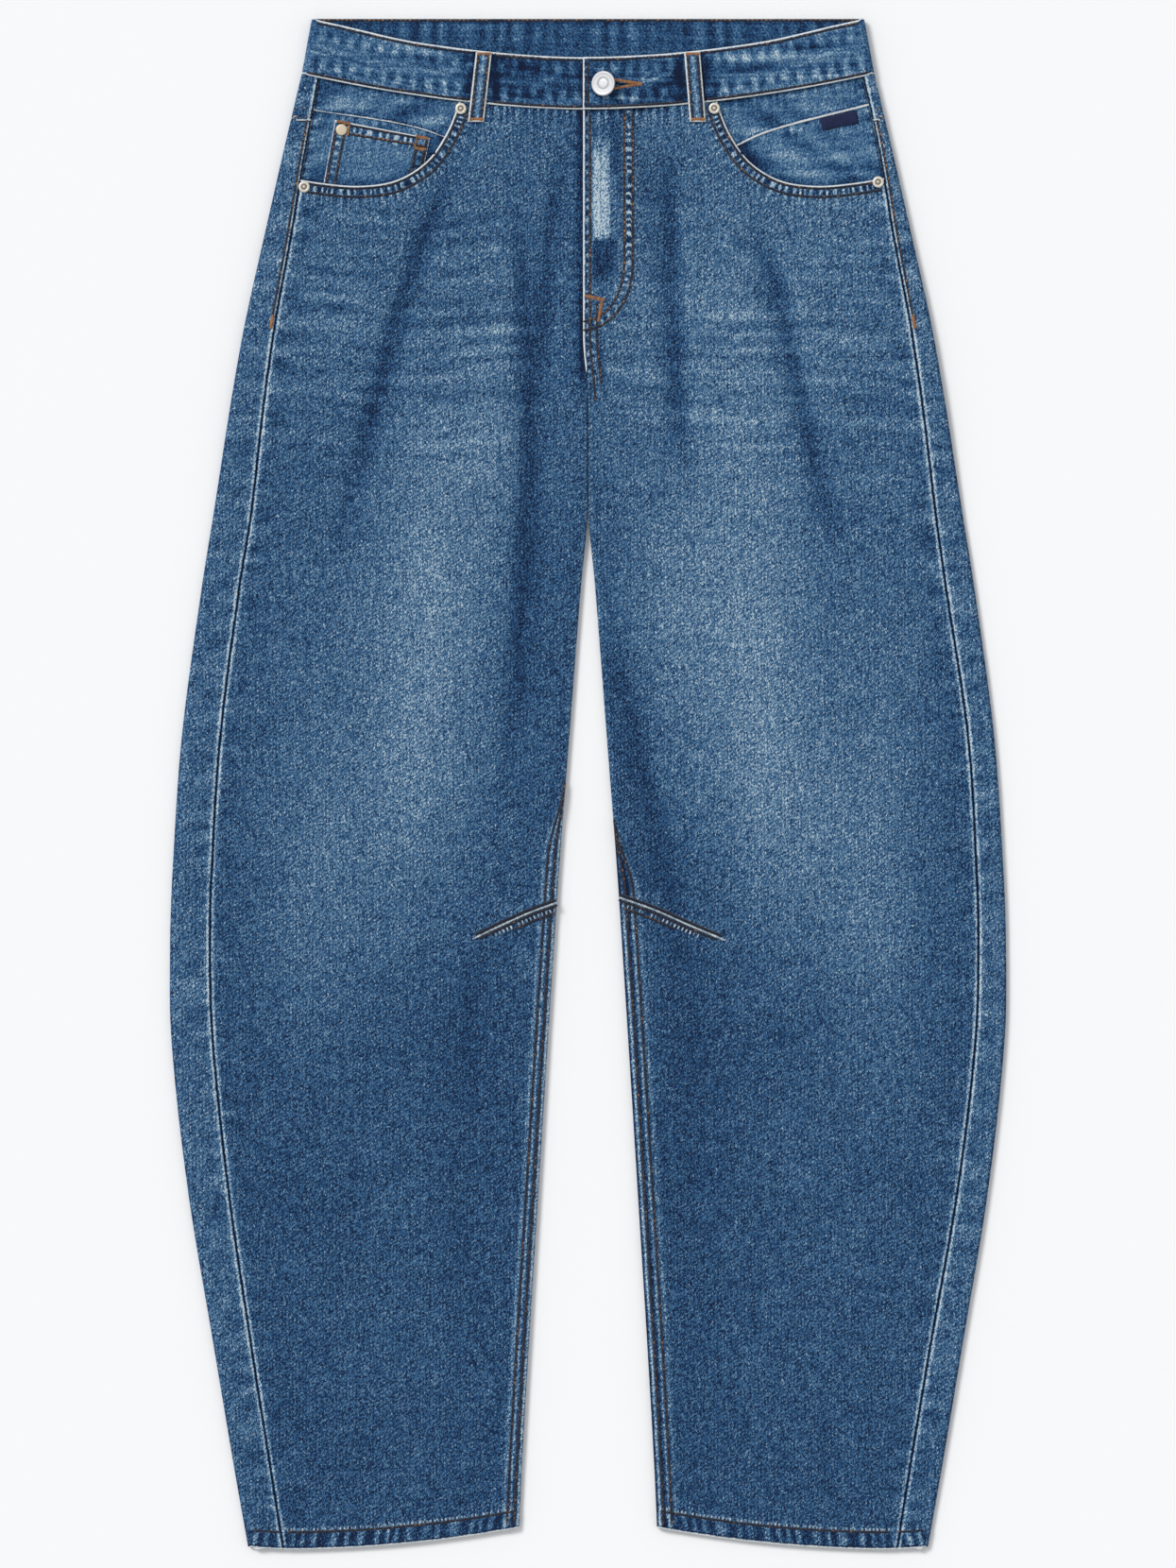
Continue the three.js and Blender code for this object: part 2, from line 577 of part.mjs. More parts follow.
// Height of the facing's outside. It lies low enough for the coin pocket to fit between it and the front,
// and rises to the side seam and the waist seam, where all the layers are sewn together.
function facingTop(side, x, y) {
  const sideways = smooth((sideSeam(side, y) - x) / FACING.sideways);
  const down = smooth((frontWaist(shareAcross(x, y)) - y) / FACING.down);
  const room = CLOTH + 2.5 * SEAM_GAP;
  return loft(side, x, y) - CLOTH - mix(FACING.below, room, Math.min(sideways, down));
}

function facing(side, upper) {
  const columns = range(0, 1, 8);
  const rows = upper ? [0, FACING_FELL.share, FACING_FELL.share + 0.02, 1] : [0, 0.35, 0.7, 1];
  const point = (t, share) => {
    const guess = mix(FACING.inner, FACING.outer, share);
    const y0 = upper ? facingSeamAt(side, guess) + SEAM_GAP / 2 : FACING.bottom;
    const u = shareAcross(guess, FACING.middle);
    const y1 = upper ? frontWaist(u) - SEAM_GAP : facingSeamAt(side, guess) - SEAM_GAP / 2;
    const y = mix(y0, y1, t);
    const x = mix(FACING.inner, sideSeam(side, y) - SEAM_GAP / 2, share);
    return new THREE.Vector3(side * x, y, facingTop(side, x, y));
  };
  const felled = (t, share) => upper && t <= FACING_FELL.share && share > FACING_FELL.from;
  return cloth(rows, columns, point, side, { raise: (t, share) => (felled(t, share) ? FACING_FELL.raise : 0) });
}

// The coin pocket, laid on the right facing, with a turned top edge.
function coinPocket() {
  const corner = (a, b, t) => [mix(a[0], b[0], t), mix(a[1], b[1], t)];
  const height = COIN.topOuter[1] - COIN.bottomOuter[1];
  const hemFrom = 1 - COIN_HEM.width / height;
  const rows = [0, 0.4, hemFrom - COIN_HEM.edge / height, hemFrom, 1];
  const point = (t, share) => {
    const low = corner(COIN.bottomInner, COIN.bottomOuter, share);
    const high = corner(COIN.topInner, COIN.topOuter, share);
    const [x, y] = corner(low, high, t);
    return new THREE.Vector3(-x, y, facingTop(-1, x, y) + SEAM_GAP + CLOTH);
  };
  const raise = (t) => (t >= hemFrom ? COIN_HEM.raise : 0);
  return cloth(rows, range(0, 1, 6), point, -1, { raise });
}

// The waistband is one folded strip: from under the button, round the right side, the back and the left
// side, and over its own end at the fly.
const BAND_RIGHT = [-BAND.underlapEnd, -8, 3.6, 16, 40, 66, 95, 125, 155, 178];
const BAND_UNDER = [0.85, 0.6, 0.3];
const BAND_LEFT = [178, 155, 125, 95, 76, 60, 46, 32, 18, 6, FLY.edge];
const BAND_COLUMNS = [
  ...BAND_RIGHT.map((x) => ({ side: -1, x })),
  ...OUTER_TURN.map((turn) => ({ side: -1, turn })),
  ...BAND_UNDER.map((under) => ({ side: -1, under })),
  { side: 1, under: 0 },
  ...BAND_UNDER.toReversed().map((under) => ({ side: 1, under })),
  ...OUTER_TURN.toReversed().map((turn) => ({ side: 1, turn })),
  ...BAND_LEFT.map((x) => ({ side: 1, x })),
];
const BAND_ROWS = [0, 0.33, 0.67, 1];

function bandTop(side, x) {
  const climb = side > 0 ? smooth((BAND_STEP.from - x) / BAND_STEP.over) : 0;
  return mix(BAND.top, BAND.overlapTop, climb);
}

function bandPoint(t, column) {
  const side = column.side;
  const fold = WAIST_HALF - EDGE_RADIUS - BAND.inset;
  const [low, high] = [SEAT.lift, bandTop(side, WAIST_HALF)];
  let [x, z, bottom] = [column.x ?? fold * (column.under ?? 0), low, backWaist(column.under ?? 0)];
  if (column.x !== undefined) {
    z = bandTop(side, x);
    bottom = frontWaist(Math.max(0, x / WAIST_HALF));
  }
  if (column.turn !== undefined) {
    x = fold + (WAIST_HALF - fold) * Math.cos(column.turn);
    z = mix(low, high, (1 + Math.sin(column.turn)) / 2);
    bottom = backWaist(1);
  }
  const flare = BAND_FLARE.height * smooth((x - BAND_FLARE.from) / BAND_FLARE.over);
  const height = column.x !== undefined ? BAND.height + flare : TOP_Y - bottom;
  return new THREE.Vector3(side * x * (1 - BAND.lean * t), bottom + height * t, z);
}

// A keyhole, cut through the overlapping end for the button's stem.
function buttonhole() {
  const { eye, opening, width, steps, to } = KEYHOLE;
  const round = range(opening, 2 * Math.PI - opening, steps).map((a) => ({
    x: BUTTON.x + eye * Math.cos(a),
    y: BUTTON.y + eye * Math.sin(a),
  }));
  const slit = [-width, width].map((by) => ({ x: BUTTON.x + KEYHOLE.slit, y: BUTTON.y + by }));
  return prism([...round, ...slit], BAND.top + 0.1, to);
}

function waistband() {
  const strip = cloth(BAND_ROWS, BAND_COLUMNS, bandPoint, -1, { thick: BAND.thick });
  return geometryOf(solidOf(strip).subtract(solidOf(buttonhole())));
}

// A belt loop on the front, from the band's top edge to below its seam.
const LOOP_ROWS = [1, 0.93, 0.82, 0.7, 0.5, 0.25, 0]; // from the bottom to the top
const LOOP_COLUMNS = [-1, -0.45, 0.45, 1];
function frontLoop({ side, top, bottom }) {
  const seam = frontWaist(top / WAIST_HALF);
  const topY = seam + BAND.height - LOOP.overTop;
  const point = (t, across) => {
    const x = mix(top, bottom, t);
    const y = topY - LOOP.length * LOOP.drop * t;
    const overBand = bandTop(side, x) + SEAM_GAP + LOOP.thick;
    const onPanel = frontTop(side, x, y) + SEAM_GAP + LOOP.thick;
    const belowSeam = smooth((seam - 4 * SEAM_GAP - y) / LOOP.bend);
    const z = mix(overBand, onPanel, belowSeam) + LOOP.crown * Math.sin(Math.PI * t);
    return new THREE.Vector3(side * (x + across * (LOOP.width / 2)), y, z);
  };
  const raise = (t, across) => (Math.abs(across) === 1 ? 0 : LOOP.edge);
  return cloth(LOOP_ROWS, LOOP_COLUMNS, point, side, { thick: LOOP.thick, raise });
}

// A belt loop on the back, flat under the band, on which the waist rests.
function backLoop(x) {
  const [left, right] = [x - LOOP.width / 2, x + LOOP.width / 2];
  const top = TOP_Y - BACK_LOOPS.inset;
  const bottom = top - LOOP.length;
  return prism(
    [
      { x: left, y: bottom },
      { x: right, y: bottom },
      { x: right, y: top },
      { x: left, y: top },
    ],
    0,
    SEAT.lift - SEAM_GAP,
  );
}

// A patch pocket on the back, turned a little to the side. It lies flat on the surface, under the seat.
function backPocket(side) {
  const half = BACK_POCKET.width / 2;
  const { middle, top, height, point, taper, thick } = BACK_POCKET;
  const outline = [
    [-half, 0],
    [-half * taper, -height + point],
    [0, -height],
    [half * taper, -height + point],
    [half, 0],
  ];
  const turn = THREE.MathUtils.degToRad(BACK_POCKET.turn);
  const placed = outline.map(([x, y]) => ({
    x: side * (middle + x * Math.cos(turn) + y * Math.sin(turn)),
    y: top + x * Math.sin(turn) + y * Math.cos(turn),
  }));
  return prism(placed, 0, thick);
}

// A pocket rivet: a domed ring with a nipple in the middle. The coin pocket's is a plain disc.
// Profiles from the axis outwards and back. The first number is a share of the radius, the second a height.
const RING_PROFILE = [
  [0, 0],
  [1, 0],
  [1, 0.5],
  [0.8, 1.5],
  [0.5, 1.5],
  [0.42, 0.9],
  [0.25, 1.05],
  [0, 1.65],
];
const DISC_PROFILE = [
  [0, 0],
  [1, 0],
  [1, 0.6],
  [0.85, 1],
  [0, 1.1],
];
const turned = (profile, radius, segments) =>
  lathe(
    profile.map(([share, height]) => [share * radius, height]),
    segments,
  );
const rivet = (profile, x, y, z) => turned(profile, RIVET.radius, RIVET.sides).translate(x, y, z);

// The shank button: a stem through the buttonhole, and a dished cap that leans on it.
const CAP_PROFILE = [
  [0, -0.5],
  [0.8, -0.5],
  [1, -0.25],
  [1, 1 / 6],
  [0.93, 0.5],
  [0.5, 0.36],
  [0.46, 0.2],
  [0.4, 0.34],
  [0, 0.4],
];
function button() {
  const cap = turned(
    CAP_PROFILE.map(([share, height]) => [share, height * BUTTON.thick]),
    BUTTON.radius,
    28,
  )
    .rotateY(THREE.MathUtils.degToRad(-BUTTON.tilt))
    .translate(BUTTON.x - BUTTON.shift, BUTTON.y, BUTTON.centre);
  const stemFrom = BAND.top + SEAM_GAP;
  const stem = [
    [0, stemFrom],
    [1, stemFrom],
    [1, BUTTON.centre],
    [0, BUTTON.centre],
  ];
  const shank = turned(stem, BUTTON.stem, 12).translate(BUTTON.x, BUTTON.y, 0);
  return geometryOf(solidOf(cap).add(solidOf(shank)));
}

// The woven tab that is caught in the left facing's seam, left bare.
function pocketTab() {
  const { width, drop, slope, thick } = TAB;
  const point = (t, share) => {
    const [across, down] = [(share - 0.5) * width, drop * (1 - t)];
    const x = TAB.x + across + down * slope;
    const y = TAB.y + across * slope - down;
    return new THREE.Vector3(x, y, facingTop(1, x, y) + SEAM_GAP + thick);
  };
  return cloth([0, 0.5, 1], range(0, 1, 4), point, 1, { thick });
}

for (const side of [-1, 1]) {
  const name = sideName(side);
  add(`${name}_front`, front(side), COLOUR.denim);
  add(`${name}_back`, back(side), COLOUR.denimDark);
  add(`${name}_yoke`, yoke(side), COLOUR.denimDark);
  add(`${name}_facing_upper`, facing(side, true), COLOUR.denim);
  add(`${name}_facing_lower`, facing(side, false), COLOUR.denim);
  add(`${name}_back_pocket`, backPocket(side), COLOUR.denimDark);
}
add("coin_pocket", coinPocket(), COLOUR.denim);
add("waistband", waistband(), COLOUR.band);
for (const loop of FRONT_LOOPS) add(loop.name, frontLoop(loop), COLOUR.denim);
for (const [name, x] of Object.entries(BACK_LOOPS.places)) {
  add(`back_loop_${name}`, backLoop(x), COLOUR.denimDark);
}
add("pocket_tab", pocketTab(), COLOUR.tab);

for (const { name, side, x, y } of RIVETS) {
  const z = frontTop(side, x, y) + SCOOP_HEM.raise + SEAM_GAP;
  add(name, rivet(RING_PROFILE, side * x, y, z), COLOUR.metal, 0.35, 1);
}
const coinRivetZ = facingTop(-1, COIN_RIVET.x, COIN_RIVET.y) + 2 * SEAM_GAP + CLOTH + COIN_HEM.raise;
add("rivet_coin", rivet(DISC_PROFILE, -COIN_RIVET.x, COIN_RIVET.y, coinRivetZ), COLOUR.metal, 0.4, 1);
add("button", button(), COLOUR.metal, 0.3, 1);

export default jeans;
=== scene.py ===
# %% [markdown]
# # A pair of barrel-leg jeans, laid flat
# The jeans lie on their back on a pale surface, buttoned, and the camera looks straight down on them.
# Every cloth piece is a thin shell whose outside is a surface worked out with numpy: a height over the
# table for each point of the cut piece. The same formulas give the seams their puckers, the thread its
# path and the wash its light and dark places, so the three always agree.
# Lengths are in millimetres while a shape is worked out, and become metres when its mesh is made.

# %% Frame
import json
import math

import bpy
import numpy as np
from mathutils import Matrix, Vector


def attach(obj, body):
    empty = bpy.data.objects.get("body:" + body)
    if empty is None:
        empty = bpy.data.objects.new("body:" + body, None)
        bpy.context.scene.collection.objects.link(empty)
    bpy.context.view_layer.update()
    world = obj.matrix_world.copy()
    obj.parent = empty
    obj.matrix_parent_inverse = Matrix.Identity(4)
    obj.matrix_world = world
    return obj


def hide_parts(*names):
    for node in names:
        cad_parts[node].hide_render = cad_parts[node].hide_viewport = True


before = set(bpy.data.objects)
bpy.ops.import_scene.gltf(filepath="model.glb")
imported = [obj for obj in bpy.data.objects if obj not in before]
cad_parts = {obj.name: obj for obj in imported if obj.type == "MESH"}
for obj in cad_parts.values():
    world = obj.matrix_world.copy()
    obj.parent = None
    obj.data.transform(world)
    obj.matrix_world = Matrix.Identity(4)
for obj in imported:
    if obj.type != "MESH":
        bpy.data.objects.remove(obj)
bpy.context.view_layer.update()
scene = bpy.context.scene
MM = 0.001
print("solids to dress:", len(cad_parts))

# %% [markdown]
# ## Camera
# A flat lay is shot from a copy stand, square to the table. A wide lens close by would show the sides of
# the waistband, so a long lens far above is the right choice: the picture is then almost a plan.
# The frame shows 809 by 1079 mm of the table, which is 0.65 mm for each of the photograph's pixels.

# %% Camera
PHOTO_SIZE = (1245, 1660)
PIXEL = 0.65
CAMERA_HEIGHT = 6.0
SENSOR = 36.0

camera_data = bpy.data.cameras.new("copy_stand")
camera_data.sensor_fit = "VERTICAL"
camera_data.sensor_height = SENSOR
camera_data.lens = SENSOR * CAMERA_HEIGHT / (PHOTO_SIZE[1] * PIXEL * MM)
camera = bpy.data.objects.new("copy_stand", camera_data)
camera.location = (0, 0, CAMERA_HEIGHT)
scene.collection.objects.link(camera)
scene.camera = camera
print("lens:", round(camera_data.lens, 1), "mm")

# %% [markdown]
# ## The form of the garment
# A leg is described by four curves over its height: the outer edge, the inner edge, and where the side
# seam runs on each leg. A smooth curve through a few rows is enough, because denim keeps long, fair lines.

# %% Outline
HEM_Y, TOP_Y, CROTCH_Y = -526.5, 526.5, 262.0
CLOTH, SEAM_GAP, EDGE_RADIUS = 1.0, 0.3, 3.4
FOLD_GAP = 0.62
COLUMNS = ("y", "outer", "inner", "right", "left")
OUTLINE = np.array([
    (-526.5, 233.5, 48.0, 24.0, 21.0),
    (-474.5, 242.7, 45.8, 25.0, 22.0),
    (-383.5, 258.0, 40.6, 26.0, 22.0),
    (-279.5, 275.2, 34.1, 28.0, 21.0),
    (-175.5, 286.6, 27.6, 28.5, 20.0),
    (-110.5, 287.5, 23.4, 27.5, 19.0),
    (-58.5, 285.7, 19.9, 27.0, 18.5),
    (32.5, 279.4, 12.9, 26.6, 18.0),
    (136.5, 265.5, 4.8, 26.0, 19.5),
    (185.0, 257.7, 0.4, 26.0, 18.5),
    (260.0, 246.0, 0.2, 23.0, 16.0),
    (315.0, 236.3, 0.2, 21.0, 14.5),
    (377.0, 222.6, 0.2, 18.5, 12.5),
    (435.5, 209.3, 0.2, 15.0, 9.0),
    (492.0, 196.0, 0.2, 12.0, 8.0),
])


def smooth(t):
    """A soft step: 0 up to t = 0, 1 from t = 1, and 3 t squared - 2 t cubed between."""
    t = np.clip(t, 0.0, 1.0)
    return t * t * (3 - 2 * t)


def mix(a, b, t):
    """The value a share t of the way from a to b."""
    return a + (b - a) * t


def bell(distance, width):
    """A smooth hump: 1 where the distance is 0, and a third of that at one width from there."""
    return np.exp(-((distance / width) ** 2))


def fading(distance, length):
    """1 up to the line, and a third of that at one length past it."""
    return np.exp(-np.maximum(distance, 0) / length)


def named_rows(fields, rows):
    """A table as a list of dictionaries, one for each row."""
    return [dict(zip(fields, row)) for row in rows]


def along(column, y):
    """One column of OUTLINE at the heights y, on a cubic curve that has the rows' own slopes."""
    ys, vs = OUTLINE[:, 0], OUTLINE[:, COLUMNS.index(column)]
    slope = np.empty(len(ys))
    slope[1:-1] = (vs[2:] - vs[:-2]) / (ys[2:] - ys[:-2])
    slope[0] = (vs[1] - vs[0]) / (ys[1] - ys[0])
    slope[-1] = (vs[-1] - vs[-2]) / (ys[-1] - ys[-2])
    i = np.clip(np.searchsorted(ys, y, side="right") - 1, 0, len(ys) - 2)
    step = ys[i + 1] - ys[i]
    t = (y - ys[i]) / step
    t2, t3 = t * t, t * t * t
    start = (2 * t3 - 3 * t2 + 1) * vs[i] + (t3 - 2 * t2 + t) * step * slope[i]
    return start + (3 * t2 - 2 * t3) * vs[i + 1] + (t3 - t2) * step * slope[i + 1]


def outer_edge(y):
    return along("outer", y)


def inner_edge(y):
    return np.maximum(SEAM_GAP / 2 + 0.05, along("inner", y))


def side_seam(side, y):
    return outer_edge(y) - along("right" if side < 0 else "left", y)


def share_across(x, y):
    return (x - inner_edge(y)) / (outer_edge(y) - inner_edge(y))


WAIST_HALF = float(outer_edge(488.0))


def front_waist(x):
    """The seam under the waistband, at a distance x from the middle."""
    return 463.5 + 24.5 * np.maximum(x / WAIST_HALF, 0.0) ** 1.8


def back_waist(u):
    return 488 + 2.5 * (1 - u)


def yoke_seam(u):
    return 424 + 34 * u


def hem_lift(u):
    """The hem rises to the inseam, and turns up a little at the side."""
    return 15.5 * np.clip(1 - u, 0, 1) ** 2.3 + 2.5 * np.clip(u, 0, 1) ** 12 - 0.53


print("flat waist:", round(2 * float(outer_edge(500.0))), "mm, flat hem:", round(233.5 - 48), "mm")

# %% [markdown]
# ## Height of the cloth over the table
# The seat lies on its two back pockets and on the belt loops, so it starts a little over the table.
# The front rests on that, with the pockets' facings between. On top of the plain height come the long
# soft folds: each is a valley with a bell-shaped section that follows a curved line and fades at its ends.

# %% Heights
LEG_LOFT, HIP_LOFT, HEM_LOFT, SEAT_LIFT = 4.6, 6.6, 3.9, 1.3
FOLD_FIELDS = ("side", "top", "bottom", "x_top", "x_mid", "x_bottom", "width", "depth")
FOLDS = named_rows(FOLD_FIELDS, [
    (-1, 450, 140, 86, 138, 176, 10, -1.9),
    (-1, 455, -60, 53, 42, 66, 12, -2.0),
    (-1, 448, 250, 19, 28, 33, 8, -1.3),
    (-1, 300, -140, 98, 112, 118, 24, 0.9),
    (-1, -90, -440, 84, 80, 70, 17, -1.4),
    (-1, -40, -470, 190, 196, 176, 26, 0.7),
    (1, 460, 175, 58, 58, 74, 11, -2.1),
    (1, 408, 130, 112, 146, 178, 11, -1.8),
    (1, 450, 320, 40, 43, 46, 8, -0.8),
    (1, 310, -150, 104, 118, 142, 25, 0.9),
    (1, 130, -170, 16, 44, 80, 18, -1.4),
    (1, -110, -430, 74, 70, 68, 17, -1.3),
    (1, -30, -470, 200, 204, 180, 26, 0.7),
])
FLY_EDGE, FLY_BOTTOM, FLY_TURN, FLY_STITCH = -3.6, 311.0, 358.0, 31.7
FLY_LIFT, FLY_UNDERLAP = 1.3, 12.0


def rolled(y):
    return smooth((CROTCH_Y + 22 - y) / 36)


def underside(y):
    return SEAT_LIFT * smooth((y - 212) / 40)


def fold_shape(fold, x, y, width=None, aside=0.0):
    """How much of one fold is felt at x, y, from 0 to 1; or of a line of another width beside it."""
    t = (fold["top"] - y) / (fold["top"] - fold["bottom"])
    centre = fold["x_top"] * (1 - t) * (1 - 2 * t) + fold["x_mid"] * 4 * t * (1 - t)
    centre = centre + fold["x_bottom"] * t * (2 * t - 1)
    return smooth(t / 0.25) * smooth((1 - t) / 0.4) * bell(x - centre - aside, width or fold["width"])


def fold_height(side, x, y):
    return sum(f["depth"] * fold_shape(f, x, y) for f in FOLDS if f["side"] == side)


def loft(side, x, y):
    """Height of the front's outside at a distance x from the middle line."""
    leg = mix(HEM_LOFT, LEG_LOFT, smooth((y - HEM_Y) / 120))
    base = mix(leg, HIP_LOFT, smooth((y - 165) / 110))
    side_fold = 0.5 * bell(outer_edge(y) - x, 26) * (1 - smooth((y - 300) / 80))
    return base + side_fold + fold_height(side, x, y)


def front_top(side, x, y):
    if side < 0:
        return loft(side, x, y)
    return loft(side, x, y) + FLY_LIFT * smooth((36 - x) / 20) * smooth((y - 298) / 22)


def facing_top(side, x, y):
    """The pocket's facing lies deeper, and rises to the side seam and to the waist."""
    sideways = smooth((side_seam(side, y) - x) / 22)
    down = smooth((front_waist(x) - y) / 26)
    return loft(side, x, y) - CLOTH - mix(0.9, CLOTH + 2.5 * SEAM_GAP, np.minimum(sideways, down))


print("height at the thigh:", round(float(front_top(1, 120.0, 60.0)), 2), "mm")

# %% [markdown]
# ## Lines on the cloth
# Seams, hems and stitching all follow lines, so one helper answers two questions for every point of a
# piece at once: how far is it from the line, and how far along the line is the nearest place?
# A line through a few points is a Catmull-Rom curve, which passes through every one of them.


# %% Curves
def curve(points, steps=16):
    """A smooth line through the points, with a number of steps between each two of them."""
    p = np.array(points, float)
    p = np.vstack([2 * p[0] - p[1], p, 2 * p[-1] - p[-2]])
    t = np.linspace(0, 1, steps, endpoint=False)[:, None]
    a, b, c, d = (p[k : len(p) - 3 + k, None, :] for k in range(4))
    line = 0.5 * (2 * b + (c - a) * t + (2 * a - 5 * b + 4 * c - d) * t**2 + (3 * b - a - 3 * c + d) * t**3)
    return np.vstack([line.reshape(-1, 2), p[-2]])


def lengths(line):
    """Distance along a line at each of its points."""
    return np.concatenate([[0.0], np.cumsum(np.linalg.norm(np.diff(line, axis=0), axis=1))])


def beside(line, x, y):
    """For points x, y: the signed distance from a line, left of its run positive, and the length along it."""
    start, run = line[:-1], np.diff(line, axis=0)
    size = np.linalg.norm(run, axis=1)
    flat_x, flat_y = np.ravel(x), np.ravel(y)
    best = np.full(flat_x.shape, np.inf)
    signed, place = np.zeros_like(best), np.zeros_like(best)
    travelled = lengths(line)
    for k in range(len(run)):
        dx, dy = flat_x - start[k, 0], flat_y - start[k, 1]
        t = np.clip((dx * run[k, 0] + dy * run[k, 1]) / size[k] ** 2, 0, 1)
        away = np.hypot(dx - t * run[k, 0], dy - t * run[k, 1])
        cross = run[k, 0] * dy - run[k, 1] * dx
        nearer = away < best
        best = np.where(nearer, away, best)
        signed = np.where(nearer, np.where(cross < 0, -away, away), signed)
        place = np.where(nearer, travelled[k] + t * size[k], place)
    return signed.reshape(np.shape(x)), place.reshape(np.shape(x))


def shifted(line, by):
    """The line moved sideways by a distance, to the left of its run."""
    run = np.gradient(line, axis=0)
    run /= np.linalg.norm(run, axis=1)[:, None]
    return line + by * np.stack([-run[:, 1], run[:, 0]], axis=1)


def ripple(s, pitch, seed):
    """Uneven waves along a seam, from about -1 to 1: sines whose phase and height wander."""
    phase = 2 * math.pi * s / pitch
    wander = 1.3 * np.sin(phase / 3.1 + seed) + 1.7 * np.sin(phase / 7.7 + 2.3 * seed)
    return np.sin(phase + wander) * (0.68 + 0.32 * np.sin(phase / 5.3 + 3.1 * seed))


SCOOP_POINTS = [(86, 480), (91, 462), (99, 444), (112, 427), (132, 415), (156, 411.2), (182, 413), (212, 418)]
SCOOP = curve(SCOOP_POINTS, 8)
SCOOP_HEM = 9.0
FACING_SEAM = {
    -1: curve([(78, 436), (99, 444.3), (134, 453.8), (204, 463.5)], 8),
    1: curve([(78, 424), (103, 438.6), (134, 450.8), (204, 467.3)], 8),
}
DART = {
    -1: curve([(21, -82.5), (40, -89.5), (59, -98), (79, -107.5)], 16),
    1: curve([(21, -79), (45, -87.5), (70, -98.5), (94, -108.5)], 16),
}
J_BEND = [(math.sin(a), math.cos(a)) for a in np.linspace(math.pi / 2, 0, 9)]


def j_line(inset):
    """The stitched J of the fly: straight down, then a quarter of an ellipse to the fly's edge."""
    reach, drop = FLY_STITCH - inset - FLY_EDGE, FLY_TURN - FLY_BOTTOM - inset
    bend = [(FLY_EDGE + reach * s, FLY_TURN - drop * c) for s, c in J_BEND]
    return np.vstack([np.linspace((FLY_STITCH - inset, 462), (FLY_STITCH - inset, FLY_TURN + 1), 20), bend])


print("scoop:", round(lengths(SCOOP)[-1]), "mm long")

# %% [markdown]
# ## Small creases
# Beside the long folds, worn denim has short creases: pulls at the crotch, ticks beside the pockets and
# at the knee darts, and flat bends on the shin. Each is a short straight valley or ridge with soft ends.

# %% Creases
CREASE_FIELDS = ("side", "x0", "y0", "x1", "y1", "width", "height")
CREASES = named_rows(CREASE_FIELDS, [
    (-1, 6, 258, 46, 232, 5, -0.7),
    (-1, 8, 246, 40, 214, 4, 0.5),
    (-1, 14, 300, 62, 306, 5, -0.5),
    (-1, 52, 424, 74, 372, 5, -0.6),
    (-1, 60, 452, 84, 420, 4, 0.5),
    (-1, 84, 402, 92, 348, 6, -0.7),
    (-1, 120, 394, 132, 340, 7, -0.5),
    (-1, 160, 398, 152, 344, 8, -0.4),
    (-1, 30, -96, 84, -124, 5, -0.7),
    (-1, 34, -62, 78, -78, 6, -0.6),
    (-1, 96, -112, 150, -128, 8, -0.5),
    (-1, 60, -180, 150, -196, 9, -0.45),
    (-1, 90, -262, 190, -240, 11, 0.4),
    (-1, 70, -330, 150, -352, 9, -0.4),
    (-1, 60, -430, 90, -512, 7, -0.6),
    (-1, 150, -440, 170, -510, 9, -0.5),
    (-1, 210, 60, 236, 10, 8, -0.5),
    (-1, 214, -60, 246, -104, 8, -0.5),
    (-1, 190, 250, 212, 196, 7, -0.5),
    (1, 6, 258, 44, 226, 5, -0.8),
    (1, 10, 240, 36, 196, 4, 0.5),
    (1, 38, 452, 44, 396, 4, -0.6),
    (1, 76, 420, 86, 360, 6, -0.7),
    (1, 96, 404, 104, 350, 6, 0.5),
    (1, 140, 396, 152, 340, 7, -0.5),
    (1, 30, -94, 82, -120, 5, -0.7),
    (1, 34, -60, 78, -76, 6, -0.6),
    (1, 96, -112, 152, -126, 8, -0.5),
    (1, 70, -190, 150, -178, 9, -0.45),
    (1, 96, -280, 190, -262, 11, 0.4),
    (1, 66, -350, 150, -338, 9, -0.4),
    (1, 62, -428, 88, -512, 7, -0.6),
    (1, 160, -436, 176, -510, 9, -0.5),
    (1, 214, 74, 244, 30, 8, -0.5),
    (1, 220, -40, 252, -90, 8, -0.5),
    (1, 196, 270, 216, 210, 7, -0.5),
])


def crease_height(side, x, y):
    """The sum of the short creases: a bell across each, and a soft rise and fall along it."""
    total = np.zeros(np.shape(x))
    for c in (crease for crease in CREASES if crease["side"] == side):
        run = np.array([c["x1"] - c["x0"], c["y1"] - c["y0"]], float)
        size = np.hypot(*run)
        t = ((x - c["x0"]) * run[0] + (y - c["y0"]) * run[1]) / size**2
        across = ((x - c["x0"]) * run[1] - (y - c["y0"]) * run[0]) / size
        bow = 3.0 * np.sin(math.pi * np.clip(t, 0, 1))
        depth = c["height"] * smooth((t + 0.1) / 0.4) * smooth((1.1 - t) / 0.5)
        total += depth * bell(across - bow, c["width"])
    return total


print("small creases:", len(CREASES))
